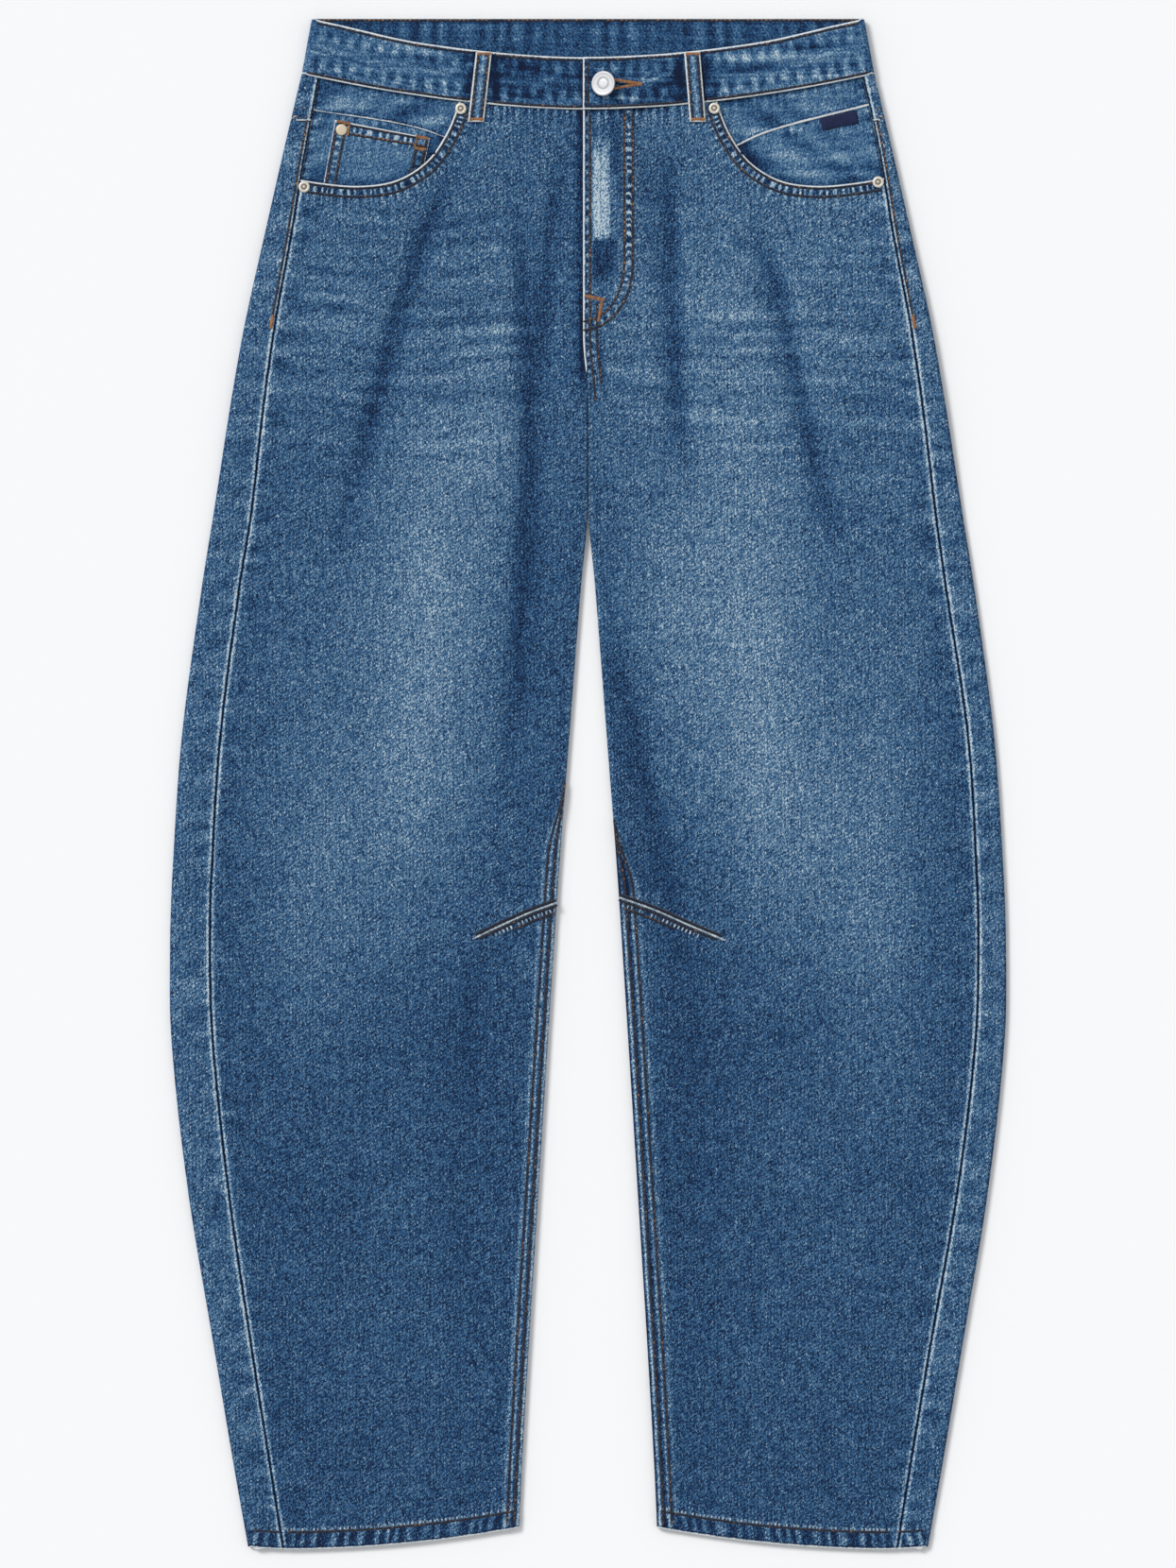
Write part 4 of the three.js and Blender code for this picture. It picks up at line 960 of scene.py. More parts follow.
def front_detail(side, x, y):
    """All that the seams add to a front at x, y."""
    d = Detail(x)
    seam = side_seam(side, y) - x
    from_hem = y - (HEM_Y + hem_lift(share_across(x, y)))
    from_inner = x - front_inner(side, y)
    d.whisk = 0.28 * whisker_mask(side, x, y) + 0.05

    wave = ripple(y, SIDE_PUCKER, 1.0 + side)
    strong = 0.5 + 0.5 * smooth((y - 0) / 200)
    d.height += 0.5 * wave * bell(seam, 11)
    d.tone += strong * (0.14 * wave * bell(seam - 8, 7) - 0.06 * bell(seam - 7, 8))
    d.bars(0.22 * strong * bell(seam - 4, 5), y, 9.5, 2.0 + side)
    d.seam_line(seam, y, 1.0)

    d.hem(from_hem, x)

    felled = INSEAM[side]
    below = smooth((felled["start"] - y) / 14)
    across = from_inner / np.maximum(smooth((felled["start"] - y) / 52), 0.12)
    d.height += below * 0.5 * smooth((felled["end"] - 0.6 - across) / 0.8)
    to_light, to_end = across - felled["light"], across - felled["end"]
    d.bars(below * 0.30 * bell(to_light, 1.2), y, 4.8, 6.0)
    d.tone += below * (0.56 * bell(across - felled["rubbed"], 0.9) + 0.38 * bell(to_light, 0.9))
    d.tone += below * (0.28 * bell(to_end, 1.3) - 0.26 * bell(to_light + 3.0, 1.6))
    d.tone -= below * (0.46 if side > 0 else 0.0) * bell(from_inner - 0.2, 1.3)
    d.tone -= below * (0.34 if side > 0 else 0.0) * smooth((y + 80) / 8) * smooth((11.5 - across) / 1.5)
    d.tone += 0.06 * ripple(y, 9.0, 7.0) * bell(to_end - 3, 5) * below
    d.tone += smooth((250 - y) / 60) * 0.07 * bell(from_inner - 1.5, 2.0)
    d.tone -= smooth((250 - y) / 60) * 0.05 * bell(from_inner - 5, 3.0) * (1 - below)

    waist = front_waist(x) - y
    fall = fading(waist, 7)
    d.height -= 0.5 * fading(waist, 0.9)
    d.bars(0.8 * fall, x, 5.6, 8.0 + side)
    # Painted shadow: a dark line on the front just under the waistband's edge.
    d.tone -= 0.26 * fading(waist, 1.5)

    scoop, run = beside(SCOOP, x, y)
    scoop = -scoop
    near = 1.0 * ((y > 380) & (scoop > -1))
    between = smooth((scoop - 2.2) / 0.6) * smooth((7.5 - scoop) / 0.6)
    past = fading(scoop - 8.6, 4.5) * smooth((scoop - 8.0) / 0.8)
    d.height += near * 0.55 * smooth((SCOOP_HEM + 0.4 - scoop) / 0.8)
    d.bars(near * (1.0 * between + 0.6 * past), run, BAR, 9.0)
    d.tone += near * (0.04 * past - 0.06 * between)
    d.edge(scoop, 0.8, 0.55, near)

    dart, place = beside(DART[side], x, y)
    taper = smooth(place / 3) * smooth((lengths(DART[side])[-1] - 4 - place) / 30)
    d.height += taper * 0.25 * smooth((3.0 - np.abs(dart)) / 0.8)
    d.bars(0.3 * taper * bell(np.abs(dart) - 6, 3), place, 6.0, 2.2)
    d.tone += taper * (0.05 * bell(dart - 6, 3) - 0.07 * bell(dart + 6, 2.2))

    if side > 0:
        fly, down = beside(j_line(0.0), x, y)
        inside = 1.0 * ((x < FLY_STITCH + 6) & (y > FLY_BOTTOM - 8))
        between = smooth((-fly - 0.7) / 0.7) * smooth((6.4 + fly) / 0.7)
        d.height += inside * 0.45 * smooth(-fly / 0.8)
        d.bars(inside * between * (0.6 + 1.0 * bell(y - 400, 40)), down, 6.0, 1.2)
        d.bars(0.25 * inside * bell(fly - 3, 3), down, 6.4, 1.2)
        edge = x - front_inner(1, y)
        lapped = smooth((y - 268) / 20)
        d.bars(lapped * 0.75 * smooth((edge - 1.2) / 0.8) * smooth((4.6 - edge) / 1.2), y, 7.0, 4.4)
        d.edge(edge, 0.7, 0.6, lapped)
        d.tone += 0.07 * ripple(x + 0.12 * y, 7.5, 3.3) * bell(x - 15, 10) * smooth((y - 335) / 20)
        patch = smooth((x - 2.6) / 1.2) * smooth((15.8 - x) / 3.0)
        patch = patch * smooth((y - 373) / 5) * smooth((448 - y) / 24)
        streaks = 1 + 0.16 * ripple(x + 0.02 * y, 4.6, 1.1) + 0.10 * ripple(y, 17.0, 2.0)
        rubbed = 0.24 * bell(x - 17.6, 1.3) * smooth((y - 372) / 6) * smooth((424 - y) / 14)
        d.tone += 0.50 * patch * streaks + rubbed
        # Painted shade: a darker band just below the light patch inside the J.
        shadow_below_patch = 0.30 * smooth((376 - y) / 5) * smooth((y - 340) / 16)
        d.tone -= shadow_below_patch * smooth((x - 2.4) / 1.4) * smooth((21 - x) / 5)
        rise = smooth((FLY_BOTTOM + 4 - y) / 6) * smooth((y - 262) / 8)
        d.bars(rise * 0.5 * smooth((edge - 4.6) / 0.8) * smooth((9.4 - edge) / 0.8), y, 5.2, 6.1)
        d.tone -= rise * 0.12 * bell(edge - 11.5, 1.4)
        d.height += rise * 0.3 * smooth((11 - edge) / 0.8)
    else:
        # Painted shadow: a dark line on the right front beside the left front's fly edge, where the cloth
        # also dips.
        fly_edge_shadow = 0.6 * np.exp(-np.abs(x - 4.2) / 1.1) + 0.4 * np.exp(-np.abs(x - 4.0) / 4.5)
        shade = smooth((y - CROTCH_Y) / 30) * fly_edge_shadow
        d.tone -= 0.75 * shade
        d.height -= 0.3 * shade
        d.bars(0.18 * bell(x - 8, 5) * smooth((y - 262) / 20), y, 9.0, 6.0)
    return d


def front_height(side, x, y):
    return front_top(side, x, y) + crease_height(side, x, y) + front_detail(side, x, y).height


def make_front(side):
    """A front: the two grids, lifted to their height, with the inner edge rolled under below the crotch."""
    x, y, quads, column = front_grid(side)
    detail = front_detail(side, x, y)
    high = front_top(side, x, y) + crease_height(side, x, y) + detail.height
    angle = np.where(column < len(ROLL), ROLL[np.minimum(column, len(ROLL) - 1)], math.pi / 2)
    middle = (front_top(side, x, y) + underside(y)) / 2 + FOLD_GAP
    z = mix(high, middle + (high - middle) * np.sin(angle), rolled(y))
    points = np.stack([side * x, y, z], axis=1)
    name = SIDE_NAMES[side]
    make_cloth(f"{name}_front", points, outward(quads, side), detail.values(body_tone(side, x, y)),
               (np.ptp(x), np.ptp(y)), denim_panel)


for side in (-1, 1):
    make_front(side)

# %% [markdown]
# ## The backs and yokes
# A back starts on top, at the side seam, turns round the leg's outer edge, runs along the table and comes
# up at the inseam. So one grid goes right round: a strip, half a circle, the underside and a roll.

# %% Backs
STRIP = np.array([0.0, 0.35, 0.8, 1.4, 2.1, 3.0, 4.4, 6.2, 8.4, 11.0])
TURN = np.linspace(math.pi / 2, -math.pi / 2, 11)
UNDER = np.linspace(1, 0, 27)[1:-1]
FULL_STRIP = 14.0  # where less than this shows beside a side seam, the strip's columns draw together
BACK_WRAP, YOKE_WRAP = 26, 20  # what the strip and the turn add to the width of the cut piece


def back_columns():
    """For each column: its kind (0 strip, 1 outer turn, 2 underside, 3 inner roll) and its place in it."""
    strip = [(0, d) for d in STRIP] + [(0.5, s) for s in (0.25, 0.5, 0.75)]
    rest = [(1, a) for a in TURN] + [(2, u) for u in UNDER] + [(3, a) for a in ROLL[::-1]]
    return np.array(strip + rest, float).T


def back_surface(side, y, kind, place):
    """The outside of a back: x, z, and the height that seams and creases may act on (1 on top, 0 below)."""
    inner, outer = inner_edge(y), outer_edge(y)
    seam = side_seam(side, y) + SEAM_GAP / 2
    low, fold = underside(y), outer - EDGE_RADIUS
    wide = fold - seam
    strip_x = seam + np.minimum(place, wide * place / FULL_STRIP)
    strip_x = np.where(kind == 0, strip_x, seam + STRIP[-1] * wide / FULL_STRIP)
    strip_x = np.where(kind == 0.5, mix(strip_x, fold, place), strip_x)
    crown = loft(side, fold, y)
    centre = (crown + low) / 2
    turn_x = fold + EDGE_RADIUS * np.cos(place)
    turn_z = centre + (crown - low) / 2 * np.sin(place)
    under_x = mix(inner + EDGE_RADIUS, fold, place)
    roll_x = inner + EDGE_RADIUS * (1 - np.cos(place))
    roll_mid = (loft(side, roll_x, y) + low) / 2 - FOLD_GAP
    roll_z = mix(low, roll_mid - (roll_mid - low) * np.sin(place), rolled(y))
    x = np.select([kind < 1, kind == 1, kind == 2], [strip_x, turn_x, under_x], roll_x)
    z = np.select([kind < 1, kind == 1, kind == 2], [loft(side, strip_x, y), turn_z, low], roll_z)
    top = np.select([kind < 1, kind == 1], [1.0, smooth((np.sin(place) + 0.2) / 1.2)], 0.0)
    return x, z, top


def back_detail(side, x, y):
    """What the seams add to the strip beside the side seam."""
    d = Detail(x)
    seam = x - side_seam(side, y)
    from_hem = y - (HEM_Y + hem_lift(share_across(x, y)))
    wave = ripple(y, SIDE_PUCKER, 4.0 + side)
    d.height += 0.35 * wave * bell(seam, 10)
    from_fold = outer_edge(y) - x
    d.tone += 0.12 * wave * bell(seam - 8, 7) + 0.06 * ripple(y, 15.0, 7.7 + side) * bell(from_fold, 7)
    d.tone += 0.05 * bell(from_fold - 4, 5)
    d.bars(0.18 * bell(seam - 4, 4), y, 9.5, 5.0 + side, 0.18)
    d.seam_line(seam, y, 2.0)
    d.hem(from_hem, x)
    d.whisk = 0.06 + 0.1 * bell(y - 300, 100)
    return d


def strip_tone(side, x, y):
    base = 0.412 + 0.02 * smooth((y - 250) / 120) - 0.065 * smooth((-360 - y) / 120)
    return base + 0.5 * whiskers(side, x - 20, y)


def underneath(detail, tone, on_top):
    """The values of a piece that shows on top only in part."""
    values = detail.values(0.0)
    values = {key: value * on_top for key, value in values.items()}
    if np.ndim(tone):
        values["tone"] = mix(tone, values["tone"], on_top)
    else:
        values["tone"] = values["tone"] + tone * (1 - on_top)
    return values


def column_share(kind, place):
    """Where each column stands across the leg, from 0 at the inseam to 1 at the outer edge."""
    return np.select([kind < 1, kind == 1, kind == 2], [0.93 + 0 * place, 1.0 + 0 * place, place], 0.0)


def make_back(side):
    """A back: every row goes from the side seam round the leg to the inseam."""
    kind, place = back_columns()
    rows = spread(HEM_STEPS, 3.9, 950.0, EDGE_STEPS[:8])
    share = column_share(kind, place)
    bottom = HEM_Y + hem_lift(np.where(kind < 1, mix(0.885, 0.985, np.clip(place / FULL_STRIP, 0, 1)), share))
    a, f, b = (part[:, None] for part in rows)
    top = yoke_seam(share) - SEAM_GAP
    y = bottom + a + f * (top - bottom - rows[0].max() - rows[2].max()) + b
    kind, place = np.broadcast_to(kind, y.shape), np.broadcast_to(place, y.shape)
    x, z, on_top = back_surface(side, y, kind, place)
    detail = back_detail(side, x, y)
    yoke = yoke_seam(np.clip(share_across(x, y), 0, 1)) - y
    fall = fading(yoke, 1.8)
    # Painted shade: the back darkens just under the yoke's felled edge, where it also dips.
    detail.tone -= 0.20 * fall
    detail.tone = detail.tone + strip_tone(side, x, y)
    points, quads = leg_grid(side, x, y, z + on_top * (detail.height - 0.5 * fall))
    under_tone = 0.40 + 0.10 * bell(x - 130, 60) * bell(y - 300, 120)
    under_tone = under_tone + 0.05 * ripple(y, 31.0, 1.0) * bell(x - 60, 30)
    make_cloth(f"{SIDE_NAMES[side]}_back", points, quads, underneath(detail, under_tone, on_top),
               (np.ptp(x) + BACK_WRAP, np.ptp(y)), denim_panel)


def make_yoke(side):
    """A yoke: the short piece over the back, with its felled lower seam."""
    kind, place = back_columns()
    share = column_share(kind, place)
    x_guess = np.where(kind < 1, side_seam(side, 470.0) + place, outer_edge(470.0) - 2)
    top = np.where(kind <= 1, front_waist(np.minimum(x_guess, 203)), back_waist(share)) - SEAM_GAP
    bottom = yoke_seam(share) + SEAM_GAP
    t = place_at(spread(EDGE_STEPS[:11], 2.2, 40.0, EDGE_STEPS[:6]), 40.0)[:, None] / 40.0
    y = mix(bottom, top, t)
    kind, place = np.broadcast_to(kind, y.shape), np.broadcast_to(place, y.shape)
    x, z, on_top = back_surface(side, y, kind, place)
    detail = back_detail(side, x, y)
    from_seam, from_waist = y - bottom, top - y
    detail.height += 0.5 * smooth((9.5 - from_seam) / 0.8)
    detail.edge(from_seam, 0.6, 0.6)
    # The last term is painted shadow: the yoke darkens just under the waistband's edge.
    detail.tone += strip_tone(side, x, y) - 0.05 - 0.2 * np.exp(-from_waist / 1.5)
    points, quads = leg_grid(side, x, y, z + on_top * detail.height)
    make_cloth(f"{SIDE_NAMES[side]}_yoke", points, quads, underneath(detail, 0.42, on_top),
               (np.ptp(x) + YOKE_WRAP, np.ptp(y)), denim_panel)


for side in (-1, 1):
    make_back(side)
    make_yoke(side)

# %% [markdown]
# ## Pocket facings, coin pocket and tab
# Inside each scoop lies the facing, a piece of the same denim that backs the pocket. A seam crosses it.
# The coin pocket is stitched onto the right one. These are small four-sided pieces, so each is a grid
# between two straight sides and two curves, lifted to the facing's height.

# %% Facings
FACING_INNER, FACING_BOTTOM = 82.0, 398.0
COIN = {
    "top_outer": (174, 456.6),
    "top_inner": (108.6, 444),
    "low_outer": (184, 401),
    "low_inner": (118, 401),
}
COIN_WIDE, COIN_TALL, COIN_HEM = 67.0, 50.0, 7.0


def facing_seam_at(side, x):
    return np.interp(x, FACING_SEAM[side][:, 0], FACING_SEAM[side][:, 1])


def make_patch(node, side, x, y, z, detail, thick=CLOTH):
    """A small piece of denim from three grids for its outside, moved by its seams' detail."""
    points, quads = leg_grid(side, x, y, z + detail.height)
    size = (np.ptp(x), np.ptp(y))
    make_cloth(node, points, quads, detail.values(0.0), size, denim_slant, thick)


def make_facing(side, upper):
    share = place_at(spread(EDGE_STEPS[:5], 2.0, 118.0, EDGE_STEPS[:7]), 118.0)[None, :] / 118.0
    t = place_at(spread(EDGE_STEPS[:8], 2.0, 40.0, EDGE_STEPS[:7]), 40.0)[:, None] / 40.0
    x = mix(FACING_INNER, 200.0, share) + 0 * t
    seam_y = facing_seam_at(side, x)
    low = seam_y + SEAM_GAP / 2 if upper else FACING_BOTTOM + 0 * x
    high = front_waist(x) - SEAM_GAP if upper else seam_y - SEAM_GAP / 2
    y = mix(low, high, t)
    x = mix(FACING_INNER, side_seam(side, y) - SEAM_GAP / 2, share)
    to_side, to_seam = side_seam(side, y) - x, np.abs(y - seam_y)
    d = Detail(x)
    crinkle = 0.13 * ripple(x * 0.7 + y, 21.0, 2.0 + side)
    fine = 0.07 * ripple(y - 0.2 * x, 9.0, side)
    d.tone += 0.455 + crinkle + fine + 0.06 * bell(x - 140, 40)
    d.edge(to_side, 0.5, 0.8)
    d.rim *= 0.86
    d.bars(0.35 * bell(to_side - 2, 5), y, 6.5, 1.0)
    if upper:
        d.height += 0.45 * smooth((4 - to_seam) / 1.2)
        d.edge(to_seam, 0.45, 0.5)
        seam_rim = np.clip(d.rim + (0.07 if side > 0 else -0.05), 0, 1) * (to_seam < 4)
        d.rim = np.where(to_seam < to_side, seam_rim, d.rim)
        to_waist = front_waist(x) - y
        # Painted shadow: the facing darkens just under the waistband's edge.
        d.tone -= 0.24 * np.exp(-to_waist / 1.5)
        d.bars(0.35 * np.exp(-to_waist / 8), x, 7.0, 2.0)
        d.tone -= 0.17 * bell(x - 128, 9) * bell(y - 458, 7) + 0.18 * bell(x - 186, 9) * bell(y - 474, 9)
        d.tone += 0.10 * bell(x - 170, 12) * bell(y - 466, 6)
    else:
        # Painted shadow: the lower facing darkens just under the upper facing's folded edge.
        d.tone -= 0.30 * np.exp(-to_seam / 1.1)
        d.bars(0.35 * np.exp(-to_seam / 7), x, 8.0, 4.0)
        scoop = -beside(SCOOP, x, y)[0]
        # Painted shadow: the facing darkens under the front's scoop edge, with a darker spot at its turn.
        d.tone -= 0.20 * smooth((scoop + 7) / 7) + 0.26 * bell(x - 110, 10) * bell(y - 430, 9)
    d.whisk += 0.36
    name, where = SIDE_NAMES[side], "upper" if upper else "lower"
    make_patch(f"{name}_facing_{where}", side, x, y, facing_top(side, x, y), d)


for side in (-1, 1):
    make_facing(side, True)
    make_facing(side, False)


def coin_at(across, up):
    """A place on the coin pocket: across from its inner side to the outer, up from the bottom."""
    low = [mix(COIN["low_inner"][k], COIN["low_outer"][k], across) for k in (0, 1)]
    high = [mix(COIN["top_inner"][k], COIN["top_outer"][k], across) for k in (0, 1)]
    return mix(low[0], high[0], up), mix(low[1], high[1], up)


def coin_top(x, y):
    return facing_top(-1, x, y) + SEAM_GAP + CLOTH


def make_coin_pocket():
    """The coin pocket: a hemmed mouth, puckers beside all its rows, and rubbed edges on three sides."""
    across = place_at(spread(EDGE_STEPS[:9], 1.6, COIN_WIDE, EDGE_STEPS[:9]), COIN_WIDE)[None, :] / COIN_WIDE
    up = place_at(spread(EDGE_STEPS[:4], 1.6, COIN_TALL, EDGE_STEPS[:11]), COIN_TALL)[:, None] / COIN_TALL
    x, y = coin_at(across, up)
    run, rise = across * COIN_WIDE, up * COIN_TALL
    d_top, d_in, d_out = (1 - up) * COIN_TALL + 0 * x, run + 0 * x, (1 - across) * COIN_WIDE + 0 * x
    d = Detail(x)
    sides = np.minimum(d_in, d_out)
    band = smooth((COIN_HEM + 0.4 - d_top) / 0.8)
    d.height += 0.35 * band
    in_hem = smooth((COIN_HEM - 0.4 - d_top) / 0.8) * smooth((d_top - 1.8) / 0.6)
    d.bars(in_hem * smooth((sides - 8) / 2), run, 5.6, 1.9)
    under_hem = 0.6 * fading(d_top - 8, 2.5) * (1 - band)
    d.bars(under_hem * smooth((sides - 7) / 2), run, 5.6, 1.9)
    d.bars(0.55 * smooth((sides - 2.6) / 0.6) * smooth((7.4 - sides) / 0.6) * (1 - band), rise, 5.0, 4.0)
    d.tone += 0.53 + 0.03 * band
    d.edge(d_top, 0.5, 0.6)
    d.edge(d_out, 0.5, 0.6, 0.88)
    d.edge(d_in, 0.5, 0.6, 0.86)
    scoop = -beside(SCOOP, x, y)[0]
    # Painted shadow under the front's scoop edge; the pocket is also darker along its inner side.
    d.tone -= 0.22 * smooth((scoop + 8) / 8) + 0.12 * bell(d_in - 3, 4) * smooth((44 - rise) / 4)
    d.whisk += 0.10
    make_patch("coin_pocket", -1, x, y, coin_top(x, y), d)


make_coin_pocket()

# %% [markdown]
# The small navy tab is a folded piece of woven tape, caught in the left facing's seam. The lettering of
# such a tab isn't part of this model, so only its plain weave shows.

# %% Tab
TAB_WIDE, TAB_TALL, TAB_THICK, TAB_SLOPE, TAB_TOP = 25.0, 8.6, 0.8, 0.215, (171.8, 460.5)
TAB_CUT = (0.027, 0.0195)  # metres, opened out


def woven_tape():
    """Navy satin tape: fine upright ribs and a soft gloss."""
    g = Graph("woven_tape", Roughness=0.7, Specular_IOR_Level=0.2, Sheen_Weight=0.05)
    place = g.node("ShaderNodeTexCoord", output=3)
    ribs = g.noise(g.mapped(place, (1900.0, 300.0, 300.0), 0.2), 1.0, 2.0, 0.6)
    grain = g.noise(place, 1500.0, 2.0, 0.6)
    stops = ((0.0, rgb(12, 18, 44)), (0.5, rgb(24, 32, 66)), (1.0, rgb(56, 68, 108)))
    colour = g.node("ShaderNodeValToRGB", {"stops": stops}, [ribs * 0.3 + grain * 0.2 + 0.5])
    bump = g.node("ShaderNodeBump", {}, {"Strength": 0.4, "Distance": 0.0002, "Height": ribs})
    return g.feed(Base_Color=colour, Normal=bump)


def make_tab():
    share = np.linspace(0, 1, 27)[None, :]
    t = np.linspace(0, 1, 11)[:, None]
    x = TAB_TOP[0] + (share - 0.5) * TAB_WIDE + TAB_TALL * TAB_SLOPE * (1 - t)
    y = TAB_TOP[1] + (share - 0.5) * TAB_WIDE * TAB_SLOPE - TAB_TALL * (1 - t)
    edge = np.minimum(np.minimum(share, 1 - share) * TAB_WIDE, np.minimum(t, 1 - t) * TAB_TALL)
    d = Detail(x)
    d.height += 0.25 * np.sin(math.pi * t) - 0.3 * np.exp(-edge / 0.6)
    points, quads = leg_grid(1, x, y, facing_top(1, x, y) + SEAM_GAP + TAB_THICK + d.height)
    piece = make_piece("woven_tab", *shell(points, quads, d.values(0.0), TAB_THICK), material=woven_tape())
    wide, long = TAB_CUT
    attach(piece, "root")
    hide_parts("pocket_tab")
    cloth_cuts[piece.name] = (wide, long, round(wide * long, 5))


make_tab()

# %% [markdown]
# ## The waistband
# The waistband is one folded strip: it starts under the button, runs round the back and ends over its own
# beginning. So one grid follows it all the way, and "outward" turns with it: up on the front, down on
# the back. Its buttonhole is a real opening, a round eye with a slit, made by leaving out quads.

# %% Waistband
BAND_TALL, BAND_THICK, BAND_TOP, BAND_OVERLAP, BAND_UNDERLAP, BAND_LEAN = 36.0, 2.4, 7.6, 10.3, 22.0, 0.036
WAIST_FOLD = WAIST_HALF - EDGE_RADIUS - 0.4
BAND_PITCH = 1.45
EYE, SLIT_END = (11.5, 480.9, 3.3), 33.5
EYE_SEAM_Y = 463.7  # the band's lower seam below the buttonhole
BAND_FACE = 8.9  # the band's outer face stands higher than this at the buttonhole
ROW_LOW, ROW_HIGH = 1.9, 2.2
BAND_CREASES = np.array([
    (36, 481, 56, 487.5, 1.5, 0.20), (37, 483, 47, 492, 1.2, 0.15), (24, 489, 30, 496, 1.6, -0.14),
    (40, 474, 62, 484, 2.2, -0.12), (14, 470, 26, 466.5, 2.0, -0.12), (22, 472, 34, 470, 2.0, 0.12),
    (60, 492, 66, 480, 2.0, -0.14), (-14, 492, -40, 478, 2.4, 0.10), (-24, 494, -60, 490, 2.2, -0.12),
    (-20, 478, -60, 484, 1.8, 0.10), (-30, 470, -58, 474, 2.4, -0.10), (-90, 500, -150, 506, 2.0, 0.09),
    (-96, 486, -160, 500, 1.8, 0.08), (-100, 492, -150, 494, 2.2, -0.10), (96, 498, 150, 500, 2.0, 0.09),
    (92, 488, 130, 494, 1.8, -0.12), (120, 484, 180, 506, 2.0, 0.08), (150, 506, 188, 512, 2.4, -0.08),
])


def band_top(side, x):
    return BAND_TOP + (side > 0) * (BAND_OVERLAP - BAND_TOP) * smooth((62 - x) / 34)


def band_columns():
    """Along the strip: side, place across, and the angle of its outside (up is a quarter turn)."""
    right = np.concatenate([np.arange(-BAND_UNDERLAP, WAIST_FOLD, BAND_PITCH), [WAIST_FOLD]])
    lap = [FLY_EDGE, -3.3, -2.9, -2.3, -1.5, -0.5, 0.8, 2.2, 3.8, 5.6]
    eye = np.arange(7.6, SLIT_END + 0.1, 0.55)
    left = np.concatenate([lap, eye, np.arange(34.2, WAIST_FOLD, BAND_PITCH), [WAIST_FOLD]])
    up, down = math.pi / 2, -math.pi / 2
    turn = np.linspace(up, down, 11)[1:-1]
    back = np.linspace(WAIST_FOLD, -WAIST_FOLD, 240)
    parts = (
        (-1 + 0 * right, right, up + 0 * right),
        (-1 + 0 * turn, WAIST_FOLD + 0 * turn, turn),
        (np.where(back > 0, -1, 1), np.abs(back), down + 0 * back),
        (1 + 0 * turn, WAIST_FOLD + 0 * turn, turn[::-1]),
        (1 + 0 * left, left[::-1], up + 0 * left),
    )
    return tuple(np.concatenate(columns) for columns in zip(*parts))


def checks(run, start):
    """Dark and light squares along the band, from -0.5 to 0.5: a sine made steeper."""
    return smooth(0.5 + 0.85 * np.sin(2 * math.pi * run / 10.3 + 0.7 * np.sin(run / 37.0) + start)) - 0.5


def band_segments(x, y):
    """Tone of the short creases on the band's front."""
    total = np.zeros(np.shape(x))
    for x0, y0, x1, y1, wide, amount in BAND_CREASES:
        size = math.hypot(x1 - x0, y1 - y0)
        t = ((x - x0) * (x1 - x0) + (y - y0) * (y1 - y0)) / size**2
        across = ((x - x0) * (y1 - y0) - (y - y0) * (x1 - x0)) / size
        total += amount * smooth((t + 0.15) / 0.4) * smooth((1.15 - t) / 0.4) * bell(across, wide)
    return total


def band_detail(side, x, t, tall):
    """What seams, creases and folded edges add to the band's front."""
    low, high = t * tall, (1 - t) * tall
    run, y = side * x, front_waist(x) + t * tall
    segments = band_segments(run, y)
    d = Detail(x + t)
    slant = low + 0.11 * run
    waves = 0.3 * ripple(run, 11.5, 1.0) * np.exp(-low / 10)
    d.height += 2.2 * segments + 0.2 * ripple(slant, 8.0, 3.0) + waves
    lower = 0.42 * checks(run, 0.0) * bell(low - 9, 4.5)
    upper = 0.34 * checks(run, 2.4) * bell(high - 9, 4.2)
    d.tone += mix(0.30, 0.48, smooth((x - 82) / 14)) + lower + upper
    d.tone += 0.13 * ripple(slant, 5.2, 3.0) + 0.04 * smooth((15 - low) / 10) + 2.0 * segments
    d.bars(0.30 * bell(high - 4, 2.5), run, 7.6, 2.0)
    d.bars(0.36 * bell(low - 4.5, 2.8), run, 7.2, 6.0)
    # Darker on both sides of each front loop: partly indigo that the loop kept from the wash, partly painted
    # shadow of the loop.
    d.tone -= 0.42 * bell(x - 64.5, 3.2) + 0.36 * bell(x - 82.0 + 3 * t, 4.0)
    d.edge(low, 0.7, 0.6)
    d.edge(high, 0.7, 0.7)
    d.whisk += 0.42
    if side > 0:
        end = x - FLY_EDGE
        d.bars(0.5 * bell(end - 3, 3), y, 7.0, 5.0)
        d.edge(end, 0.7, 0.6)
    else:
        # Painted shadow: the right band darkens beside the end of the left band that laps over it.
        d.tone -= 0.25 * smooth((8 - x) / 5)
    return d


def band_tall(x):
    return BAND_TALL + 2 * smooth((x - 120) / 60)


def band_front(side, x, t):
    """A place on the band's front, x, y and z."""
    tall = band_tall(x)
    z = band_top(side, x) + band_detail(side, x, t, tall).height
    return side * x * (1 - BAND_LEAN * t), front_waist(x) + t * tall, z


